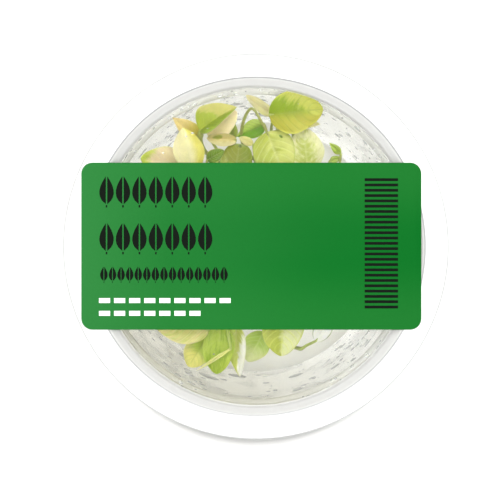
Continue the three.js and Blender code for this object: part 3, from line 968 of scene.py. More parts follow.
@dataclass
class Condensation:
    """Beads of condensed water on the inner wall and under the lid's window.

    A large drop has its turn in degrees, its height and its radius. Its shape is how far it reaches
    along the wall, up it and out of it, as shares of that radius. The speck of root has its turn, its
    distance from the axis and its height.
    """

    cup: Cup
    lid: Lid
    sparse_below: float = 14.0
    dense_above: float = 36.0
    patches: float = 110.0
    steps: int = 72
    large: tuple[Vec, ...] = (
        (250.1, 25.0, 2.8), (262.1, 16.3, 2.5), (239.4, 18.8, 1.3), (287.4, 21.5, 2.0),
        (303.6, 31.4, 1.4), (49.1, 43.6, 1.1), (293.1, 30.2, 1.0),
    )
    large_shape: Vec = (1.3, 0.65, 0.16)
    speck_at: Vec = (214.0, 49.9, 48.0)

    def tree(self) -> bpy.types.NodeTree:
        """Makes the node tree that scatters beads over a surface.

        Returns:
            The tree. Its inputs are the surface, the beads to a square metre, the smallest and
            largest radius, how high a bead stands as a share of its radius, the seed and the
            material.
        """
        tree, given = geometry_tree("water_beads", {
            "Surface": "Geometry", "Density": "Float", "Smallest": "Float", "Largest": "Float",
            "Height": "Float", "Seed": "Int", "Material": "Material",
        }, "Beads")
        here = add(tree, "GeometryNodeInputPosition")
        upper = add(tree, RANGE, {
            "Value": add(tree, SPLIT, {0: here}).outputs[2], "From Min": self.sparse_below * MM,
            "From Max": self.dense_above * MM, "To Min": 0.3, "To Max": 1.3,
        }, **SMOOTH)
        patches = add(tree, NOISE, {"Vector": here, "Scale": self.patches, "Detail": 2.0})
        patch = add(tree, RANGE, {
            "Value": patches, "From Min": 0.38, "From Max": 0.62, "To Min": 0.15, "To Max": 1.85
        }, **SMOOTH)
        front_left = add(tree, VECTOR_MATH, {0: here, 1: (-0.5, -0.86, 0.0)}, **TOWARDS)
        fewer = add(tree, RANGE, {
            "Value": front_left.outputs["Value"], "From Min": 10.0 * MM, "From Max": 40.0 * MM,
            "To Min": 1.0, "To Max": 0.45,
        })
        density = upper
        for factor in (fewer, patch, given["Density"]):
            density = add(tree, MATH, {0: density, 1: factor}, **TIMES)
        spread = {"Mesh": given["Surface"], "Density": density, "Seed": given["Seed"]}
        points = add(tree, "GeometryNodeDistributePointsOnFaces", spread)
        dome = add(tree, "GeometryNodeMeshUVSphere", {"Segments": 10, "Rings": 6, "Radius": 1.0})
        chance = add(tree, "FunctionNodeRandomValue", {2: 0.0, 3: 1.0, "Seed": given["Seed"]})
        rare = add(tree, MATH, {0: chance.outputs[1], 1: 2.0}, operation="POWER")
        size = add(tree, RANGE, {"Value": rare, "To Min": given["Smallest"], "To Max": given["Largest"]})
        stretch = add(tree, "FunctionNodeRandomValue", {2: 0.9, 3: 2.2, "Seed": 7})
        long = add(tree, MATH, {0: size, 1: stretch.outputs[1]}, **TIMES)
        low = add(tree, MATH, {0: size, 1: given["Height"]}, **TIMES)
        beads = add(tree, "GeometryNodeInstanceOnPoints", {
            "Points": points.outputs["Points"], "Instance": dome, "Rotation": points.outputs["Rotation"],
            "Scale": add(tree, "ShaderNodeCombineXYZ", {0: long, 1: size, 2: low}),
        })
        real = add(tree, "GeometryNodeRealizeInstances", {0: beads})
        smooth = add(tree, "GeometryNodeSetShadeSmooth", {0: real})
        dressed = add(tree, "GeometryNodeSetMaterial", {0: smooth, "Material": given["Material"]})
        add(tree, "NodeGroupOutput", {"Beads": dressed})
        return tree

    def build(self) -> list[bpy.types.Object]:
        """Scatters beads over bands turned about the axis, and builds the larger drops and the speck."""
        tree = self.tree()
        water = WaterBead().material()
        cup, low, neck = self.cup, Gel.top + 2.0, self.cup.shoulder - 0.6
        under = self.lid.top - self.lid.recess - self.lid.wall - 0.01
        wall = [(cup.inside(neck) - 0.02, neck), (cup.inside(low) - 0.02, low)]
        collar = [
            (cup.window - 1.5, cup.flange_top - 2.0),
            (cup.inside(cup.shoulder) + 1.45, cup.shoulder + 2.0),
            (cup.inside(cup.shoulder) + 0.1, cup.shoulder + 0.6),
        ]
        window = [(4.0, under), (self.lid.window - 4.5, under)]
        # Each band's section faces the side that its beads stand on. Then come the beads to a square
        # metre, the smallest and largest radius, the share of it that a bead stands high, and the seed.
        bands = (
            ("beads_on_wall", wall, 95000.0, 0.2, 0.9, 0.22, 11),
            ("beads_on_neck", collar, 90000.0, 0.2, 0.7, 0.22, 21),
            ("drops_on_wall", wall, 3200.0, 1.1, 2.0, 0.3, 3),
            ("beads_under_window", window, 2500.0, 0.1, 0.32, 0.3, 5),
        )
        pieces = []
        for name, section, density, smallest, largest, height, seed in bands:
            mesh = plain_mesh(name, rings(section, self.steps), ring_faces(len(section), self.steps))
            pieces.append(realized(linked(name, mesh), tree, {
                "Density": density, "Smallest": smallest * MM, "Largest": largest * MM,
                "Height": height, "Seed": seed, "Material": water,
            }))
        pieces.append(self.large_drops(water))
        for piece in pieces:
            place(piece, "clear_plastic")
        self.speck()
        return pieces

    def speck(self) -> None:
        """Builds the dark speck of old root that sticks to the neck on the front left."""
        turn, out, height = self.speck_at
        way = Vector((math.cos(math.radians(turn)), math.sin(math.radians(turn)), 0.0))
        across = Vector((-way.y, way.x, 0.0))
        middle = way * out + Vector((0.0, 0.0, height))
        route = [middle + across * step * 0.3 + way * 0.06 * math.sin(2.2 * step) for step in range(-2, 3)]
        points, faces = tube(route, [0.1, 0.24, 0.3, 0.2, 0.08], 8)
        root = StemTissue("root_dry", "#3c4026", "#6a6a4a", 0.4).material()
        place(mesh_object("root_speck", points, faces, [root]), "rhizome")

    def large_drops(self, water: bpy.types.Material) -> bpy.types.Object:
        """Builds the few large flat drops that the picture shows one by one.

        Args:
            water: the material.

        Returns:
            The drops as one mesh.
        """
        levels, sides = 6, 16
        wide, tall, deep = self.large_shape
        points: list[Vector] = []
        faces: Faces = []
        for turn, height, radius in self.large:
            angle = math.radians(turn)
            out = Vector((math.cos(angle), math.sin(angle), 0.0))
            along = Vector((-math.sin(angle), math.cos(angle), 0.0))
            up = (out * self.cup.taper + Vector((0.0, 0.0, 1.0))).normalized()
            inward = up.cross(along)
            middle = out * self.cup.inside(height) + Vector((0.0, 0.0, height))
            start = len(points)
            for level in range(levels + 1):
                tilt = math.pi * level / levels
                for side in range(sides):
                    way = math.tau * side / sides
                    flat = along * (wide * math.cos(way)) + up * (tall * math.sin(way))
                    rim = flat * (radius * max(math.sin(tilt), 0.02))
                    points.append(middle + rim + inward * (deep * radius * math.cos(tilt)))
            faces += ring_faces(levels + 1, sides, start)
            faces += [list(range(first, first + sides)) for first in (start, start + levels * sides)]
        return mesh_object("large_drops", points, faces, [water])


@dataclass
class Label:
    """The green label across the lid, with plain generic print: rows of marks and a block of lines."""

    width: float = 103.8
    height: float = 51.0
    corner: float = 3.4
    shift: Pair = (-1.4, 0.1)
    under: float = 52.05
    top: float = 52.21
    ink_top: float = 52.245
    ink_depth: float = 0.02

    def outline(self, inset: float) -> list[Pair]:
        """The label's edge, brought in by a distance.

        Args:
            inset: how far inside the label's own edge.

        Returns:
            The edge's points, anticlockwise.
        """
        x = self.width / 2 - self.corner
        y = self.height / 2 - self.corner
        radius = self.corner - inset
        made = []
        for quarter, (cx, cy) in enumerate(((x, y), (-x, y), (-x, -y), (x, -y))):
            for step in range(9):
                angle = math.pi / 2 * (quarter + step / 8)
                across = self.shift[0] + cx + radius * math.cos(angle)
                made.append((across, self.shift[1] + cy + radius * math.sin(angle)))
        return made

    def build(self) -> None:
        """Builds the film with a softened edge, and its print."""
        levels = ((0.0, self.under), (0.0, self.top - 0.06), (0.06, self.top))
        points = [(x, y, z) for inset, z in levels for x, y in self.outline(inset)]
        count = len(points) // len(levels)
        faces = [list(range(count))[::-1], list(range(2 * count, 3 * count))]
        faces += ring_faces(len(levels), count)
        film = mesh_object("label_film", points, faces, [LabelFilm().material()], sharp_degrees=60)
        place(film, "label", "label")
        self.print_marks()

    def print_marks(self) -> None:
        """Prints the rows of leaf marks, the rows of dashes and the block of lines."""
        black = PrintInk("ink_black", "#050905", "#0b160c").material()
        white = PrintInk("ink_white", "#f2f6f1", "#dfe9df").material()
        tree = row_tree()
        leaf, dash = self.leaf_mark(), self.dash_mark()
        # Each row has its mark, its ink, where it starts, its step, its number and a mark's size
        rows = (
            ("print_leaves_top", leaf, black, (-45.6, 16.5), (5.02, 0.0), 7, (4.4, 9.2)),
            ("print_leaves_below", leaf, black, (-45.6, 2.2), (5.02, 0.0), 7, (4.4, 9.2)),
            ("print_leaves_small", leaf, black, (-46.4, -8.7), (2.62, 0.0), 15, (2.3, 4.7)),
            ("print_dashes_top", dash, white, (-46.2, -16.5), (4.6, 0.0), 9, (3.4, 1.5)),
            ("print_dashes_below", dash, white, (-46.2, -20.4), (4.6, 0.0), 7, (3.4, 1.5)),
            ("print_lines", dash, black, (38.3, 20.4), (0.0, -1.62), 25, (10.2, 0.86)),
        )
        for name, mark, ink, start, pitch, count, size in rows:
            row = realized(linked(name, bpy.data.meshes.new(name)), tree, {
                "Mark": mark, "Count": count,
                "Start": (start[0] * MM, start[1] * MM, (self.ink_top - self.ink_depth) * MM),
                "Pitch": (pitch[0] * MM, pitch[1] * MM, 0.0), "Size": (*size, self.ink_depth),
                "Material": ink,
            })
            place(row, "label")
        for mark in (leaf, dash):
            bpy.data.objects.remove(mark)

    @staticmethod
    def leaf_mark() -> bpy.types.Object:
        """One upright leaf a millimetre tall: two halves with a gap between, on a short stalk."""
        points: list[Vec] = []
        faces: Faces = []
        gap, steps = 0.05, 8
        shares = [step / steps for step in range(steps + 1)]
        for side in (-1, 1):
            start = len(points)
            bulge = [side * (gap + 0.45 * math.sin(math.pi * u**0.8) ** 0.9) for u in shares]
            for edge in (bulge, [side * gap] * len(shares)):
                points += [(x, (u - 0.42) * 0.92, 0.0) for x, u in zip(edge, shares)]
            for step in range(start, start + steps):
                quad = [step, step + 1, step + steps + 2, step + steps + 1]
                faces.append(quad if side < 0 else quad[::-1])
        start = len(points)
        points += [(-gap, -0.5, 0.0), (gap, -0.5, 0.0), (gap, -0.42, 0.0), (-gap, -0.42, 0.0)]
        return slab("leaf_mark", points, [*faces, list(range(start, start + 4))])

    @staticmethod
    def dash_mark() -> bpy.types.Object:
        """One dash a millimetre long and tall."""
        points = [(-0.5, -0.5, 0.0), (0.5, -0.5, 0.0), (0.5, 0.5, 0.0), (-0.5, 0.5, 0.0)]
        return slab("dash_mark", points, [[0, 1, 2, 3]])


def slab(name: str, points: Sequence[Vec], faces: Sequence[Sequence[int]]) -> bpy.types.Object:
    """Gives flat faces a thickness of one millimetre.

    Args:
        name: the object's name.
        points: the points of the flat faces.
        faces: the faces.

    Returns:
        The closed object.
    """
    mesh = plain_mesh(name, points, faces)
    work = bmesh.new()
    work.from_mesh(mesh)
    bmesh.ops.remove_doubles(work, verts=work.verts, dist=1e-9)
    grown = bmesh.ops.extrude_face_region(work, geom=work.faces[:])
    lifted = [e for e in grown["geom"] if isinstance(e, bmesh.types.BMVert)]
    bmesh.ops.translate(work, verts=lifted, vec=(0.0, 0.0, MM))
    bmesh.ops.recalc_face_normals(work, faces=work.faces)
    work.to_mesh(mesh)
    work.free()
    return linked(name, mesh)


def row_tree() -> bpy.types.NodeTree:
    """Makes the node tree that repeats a mark in a row.

    Returns:
        The tree. Its inputs are the mark, how many there are, where the first one's middle is, the
        step from one to the next, the mark's size in millimetres and the material.
    """
    tree, given = geometry_tree("row_of_marks", {
        "Carrier": "Geometry", "Mark": "Object", "Count": "Int", "Start": "Vector", "Pitch": "Vector",
        "Size": "Vector", "Material": "Material",
    }, "Row")
    line = {"Count": given["Count"], "Start Location": given["Start"], "Offset": given["Pitch"]}
    places = add(tree, "GeometryNodeMeshLine", line)
    mark = add(tree, "GeometryNodeObjectInfo", {"Object": given["Mark"]}).outputs["Geometry"]
    marks = add(
        tree, "GeometryNodeInstanceOnPoints", {"Points": places, "Instance": mark, "Scale": given["Size"]}
    )
    real = add(tree, "GeometryNodeRealizeInstances", {0: marks})
    dressed = add(tree, "GeometryNodeSetMaterial", {0: real, "Material": given["Material"]})
    add(tree, "NodeGroupOutput", {"Row": dressed})
    return tree


# The plants


class Form(Enum):
    """A blade's outline: how early it is widest, and how full its ends are."""

    HEART = (0.62, 0.85)
    OVAL = (0.8, 0.6)
    SPOON = (1.15, 0.75)
    BLUNT = (1.0, 0.5)
    SQUARE = (1.0, 0.3)
    LANCE = (0.75, 1.0)

    def breadth(self, u: float) -> float:
        """Half the blade's width at a share of its length, as a share of its widest."""
        shift, full = self.value
        return math.sin(math.pi * min(max(u, 0.0), 1.0) ** shift) ** full if 0 < u < 1 else 0.0


class Tone(Enum):
    """The record's material slots for leaves."""

    LIME = "leaf_lime"
    GREEN = "leaf_green"
    MARBLED = "leaf_marbled"
    CREAM = "leaf_cream"
    BLUSH = "leaf_blush"


@dataclass(frozen=True)
class Leaf:
    """One leaf: where its blade lies, how it rolls, folds, arches and waves, and its tissue."""

    name: str
    tone: Tone
    form: Form
    base: Vec
    tip: Vec
    width: float
    tissue: LeafTissue
    roll: float = 0.0
    fold: float = 8.0
    arch: float = 1.0
    bows: tuple[Vec, ...] = ((0.0, 0.0, 0.0),)
    hollow: float = 1.0
    wave: float = 0.22
    stalk: str = "#a9b25c"
    club: Pair = (0.5, 0.0)


@dataclass
class LeafBuilder:
    """Makes a leaf's mesh: a blade with two skins and a rim, and a stalk that runs on as its midrib.

    Rows and columns are partly even and partly crowded to the ends. The least half width of a blade
    is given near its base and at its tip.
    """

    rows: int = 34
    rows_even: float = 0.45
    rows_crowded: float = 0.55
    columns: int = 16
    columns_even: float = 0.7
    columns_crowded: float = 0.3
    least_half: Pair = (0.42, 0.05)
    thickness: float = 0.5
    keel_share: float = 0.62
    edge: float = 0.1
    pillow: float = 0.35
    waves: float = 1.6
    ripple: float = 0.05
    ripple_width: float = 9.0
    uneven: float = 0.025
    sways: Pair = (1.3, 1.9)
    sides: int = 10
    bows_between: int = 12
    foot_radius: float = 0.62
    foot_swell: float = 0.3
    foot_lean: float = 0.45
    foot_drop: float = 0.9
    foot_end: float = 1.1
    neck_radius: float = 0.4
    club_length: float = 0.07
    midrib_sink: float = 0.16
    midrib_end: float = 0.08

    def keel(self, u: float) -> float:
        """How deep the blade is under its midline, at a share of its length."""
        return self.thickness * (1 - 0.5 * u) * self.keel_share

    def build(self, leaf: Leaf, start: Vector, heart: Vector) -> bpy.types.Object:
        """Builds one leaf.

        Args:
            leaf: the leaf.
            start: where its stalk starts, in millimetres.
            heart: the middle of the rhizome's growing tip, which the stalk's foot leans to.

        Returns:
            The finished object.
        """
        base, tip = Vector(leaf.base), Vector(leaf.tip)
        axis = (tip - base).normalized()
        side = axis.cross(Vector((0, 0, 1))).normalized()
        side = Matrix.Rotation(math.radians(leaf.roll), 3, axis) @ side
        normal = side.cross(axis)
        points, faces, uvs = self.blade(leaf, base, tip, side, normal)
        stalk_points, stalk_faces = self.stalk(leaf, start, heart, base, tip, normal)
        shift = len(points)
        marks = [0] * len(faces) + [1] * len(stalk_faces)
        all_faces = faces + [[i + shift for i in face] for face in stalk_faces]
        lamina = leaf.tissue.material(f"lamina_{leaf.name}", (tip - base).length, leaf.width)
        petiole = StemTissue(f"petiole_{leaf.name}", leaf.stalk, "#c3cc7c").material()
        made = mesh_object(
            f"anubias_leaf_{leaf.name}", [*points, *stalk_points], all_faces, [lamina, petiole], marks, 75
        )
        layer = made.data.uv_layers.new(name=BLADE_MAP)
        uvs = uvs + [(0.0, 0.5)] * len(stalk_points)
        for loop in made.data.loops:
            layer.data[loop.index].uv = uvs[loop.vertex_index]
        return made

    def blade(
        self, leaf: Leaf, base: Vector, tip: Vector, side: Vector, normal: Vector
    ) -> tuple[list[Vector], Faces, list[Pair]]:
        """Makes the blade's closed shell.

        Args:
            leaf: the leaf.
            base: the blade's base.
            tip: the blade's tip.
            side: the way to its right edge.
            normal: the way that its upper skin faces.

        Returns:
            The points, the faces and each point's place on the blade's map.
        """
        rise = math.radians(leaf.fold)
        phase = sum(map(ord, leaf.name)) % 7
        skins: list[list[Vector]] = [[], []]
        uvs: list[Pair] = []
        for row in range(self.rows + 1):
            share = row / self.rows
            u = self.rows_even * share + self.rows_crowded * (0.5 - 0.5 * math.cos(math.pi * share))
            breadth = leaf.form.breadth(u)
            least = self.least_half[0] * (1 - u) ** 4 + self.least_half[1]
            halves = []
            for turns in self.sways:
                sway = 1 + self.uneven * math.sin(math.tau * (turns * u + phase / 7))
                halves.append(max(0.5 * leaf.width * breadth * sway, least))
            centre = base.lerp(tip, u) + normal * (leaf.arch * 4 * u * (1 - u))
            keel = self.keel(u)
            for column in range(self.columns + 1):
                w = 2 * column / self.columns - 1
                w = self.columns_even * w + self.columns_crowded * math.sin(math.pi / 2 * w)
                off = abs(w)
                half = halves[w > 0]
                lift = half * math.sin(rise) * off**leaf.hollow
                lift += self.pillow * breadth * math.sin(math.pi * off**1.16)
                lag = 0.9 if w > 0 else -0.6
                swing = math.sin(math.tau * (self.waves * u + 0.11 * phase) + lag)
                lift += leaf.wave * breadth * off**3 * swing
                ripple = math.sin(math.tau * leaf.tissue.vein_pairs * (u - VEIN_SLANT * off**VEIN_BEND))
                height = self.ripple * min(1.0, leaf.width / self.ripple_width)
                lift += height * breadth * ripple * off * (1 - off) * 4
                top = centre + side * (half * math.cos(rise) * w) + normal * lift
                thick = self.edge + keel * (1 - off) ** 1.2
                skins[0].append(top)
                skins[1].append(top - normal * thick)
                uvs.append((u, (w + 1) / 2))
        across = self.columns + 1
        count = len(skins[0])
        faces: Faces = []
        for row in range(self.rows):
            for column in range(self.columns):
                a = row * across + column
                faces.append([a, a + 1, a + across + 1, a + across])
                faces.append([count + a, count + a + across, count + a + across + 1, count + a + 1])
            for a in (row * across, row * across + self.columns):
                faces.append([a, a + across, count + a + across, count + a])
        for row in (0, self.rows):
            for column in range(self.columns):
                a = row * across + column
                faces.append([a, a + 1, count + a + 1, count + a])
        return skins[0] + skins[1], faces, uvs + uvs

    def stalk(
        self, leaf: Leaf, start: Vector, heart: Vector, base: Vector, tip: Vector, normal: Vector
    ) -> tuple[list[Vector], Faces]:
        """Makes the stalk, which runs on under the blade as its midrib.

        Args:
            leaf: the leaf.
            start: where the stalk starts.
            heart: the middle of the rhizome's growing tip.
            base: the blade's base.
            tip: the blade's tip.
            normal: the way that the blade's upper skin faces.

        Returns:
            The points and the faces.
        """
        bows = []
        for i, bow in enumerate(leaf.bows):
            share = (i + 1) / (len(leaf.bows) + 1)
            point = start.lerp(base, share) + Vector(bow)
            point.z += (base.z - start.z) * share * (1 - share)
            bows.append(point)
        route = spline([start, *bows, base], self.bows_between)
        last = len(route) - 1
        radii = [
            self.foot_radius
            + (self.neck_radius - self.foot_radius) * i / last
            + self.foot_swell * (1 - i / last) ** 8
            + leaf.club[1] * math.exp(-(((i / last - leaf.club[0]) / self.club_length) ** 2))
            for i in range(len(route))
        ]
        foot = start.lerp(heart, self.foot_lean) + Vector((0, 0, -self.foot_drop))
        route.insert(0, foot)
        radii.insert(0, self.foot_end)
        for step in range(1, 10):
            u = step / 10
            arch = leaf.arch * 4 * u * (1 - u)
            route.append(base.lerp(tip, u) + normal * (arch - (self.keel(u) + self.midrib_sink)))
            radii.append(min(self.neck_radius * (1 - u) + self.midrib_end, 0.1 * leaf.width))
        return tube(route, radii, self.sides)


@dataclass
class Plantlet:
    """One plantlet: a creeping rhizome whose tip turns up, its roots, and the leaves round its tip."""

    name: str
    at: Pair
    heading: float
    first_leaf: float
    leaves: tuple[Leaf, ...]
    rhizome_length: float = 7.5
    rhizome_radius: float = 1.9
    rhizome_height: float = 11.6
    tip_height: float = 14.9
    ring: float = 2.2
    stalk_foot: float = 15.2
    root_radius: float = 0.55
    root_spread: float = 0.9
    root_foot: float = 4.2
    old_leaves: int = 6
    scar_depth: float = 0.07
    builder: LeafBuilder = field(default_factory=LeafBuilder)

    def by(self, back: float, height: float, across: float = 0.0) -> Vector:
        """A place by the growing tip.

        Args:
            back: how far back along the rhizome.
            height: the height.
            across: how far across the rhizome.

        Returns:
            The place.
        """
        angle = math.radians(self.heading)
        ahead = Vector((math.cos(angle), math.sin(angle), 0))
        left = Vector((-math.sin(angle), math.cos(angle), 0))
        return Vector((*self.at, height)) - ahead * back + left * across

    def rhizome(self) -> bpy.types.Object:
        """Builds the rhizome with its roots."""
        middle = self.rhizome_length / 2
        shells = [self.stem(middle)]
        surface_height = Gel.top + self.root_radius + 0.1
        half_way = (self.rhizome_height + self.root_foot) / 2
        runner = [
            self.by(middle + 1.2, self.rhizome_height, 0.6),
            self.by(middle + 2.7, surface_height, 4),
            self.by(middle + 1.2, surface_height - 0.25, 8),
        ]
        roots = [
            [
                self.by(middle, self.rhizome_height, across),
                self.by(middle, half_way, across * 1.3),
                self.by(middle, self.root_foot, across),
            ]
            for across in (-self.root_spread, self.root_spread)
        ]
        for corners in (runner, *roots):
            route = spline(corners, 8)
            last = len(route) - 1
            radii = [self.root_radius * (1.05 - 0.75 * (i / last) ** 2) for i in range(len(route))]
            shells.append(tube(route, radii, 8))
        points: list[Vector] = []
        faces: Faces = []
        marks: list[int] = []
        for part, (part_points, part_faces) in enumerate(shells):
            faces += [[i + len(points) for i in face] for face in part_faces]
            marks += [min(part, 1)] * len(part_faces)
            points += part_points
        stem = StemTissue("rhizome_green", "#8d9c42", "#b3bb6a", 0.9).material()
        root = StemTissue("root_pale", "#d9d6b4", "#c4c98c", 0.7).material()
        made = mesh_object(f"anubias_rhizome_{self.name}", points, faces, [stem, root], marks, 75)
        return place(made, "rhizome", f"rhizome_{self.name}")

    def stem(self, middle: float) -> tuple[list[Vector], Faces]:
        """Makes the stem, ringed where old leaves were.

        Args:
            middle: half the rhizome's length.

        Returns:
            The points and the faces.
        """
        corners = [
            self.by(self.rhizome_length, self.rhizome_height),
            self.by(middle, self.rhizome_height),
            self.by(0, self.tip_height),
        ]
        route = spline(corners, 16)
        last = len(route) - 1
        radii = []
        for i in range(len(route)):
            t = i / last
            body = math.sin(math.pi * min(0.04 + 0.86 * t, 0.97)) ** 0.35
            ringed = 1 + self.scar_depth * math.cos(math.tau * self.old_leaves * t)
            radii.append(self.rhizome_radius * 0.95 * body * ringed)
        return tube(route, radii, 14)

    def build(self) -> list[bpy.types.Object]:
        """Builds the rhizome and the leaves."""
        made = [self.rhizome()]
        heart = Vector((*self.at, self.tip_height - 1.0))
        for number, leaf in enumerate(self.leaves):
            turn = math.radians(self.first_leaf + 360 * number / len(self.leaves))
            x = self.at[0] + self.ring * math.cos(turn)
            y = self.at[1] + self.ring * math.sin(turn)
            start = Vector((x, y, self.stalk_foot))
            piece = self.builder.build(leaf, start, heart)
            made.append(place(piece, leaf.tone.value, f"leaf_{leaf.name}"))
        return made


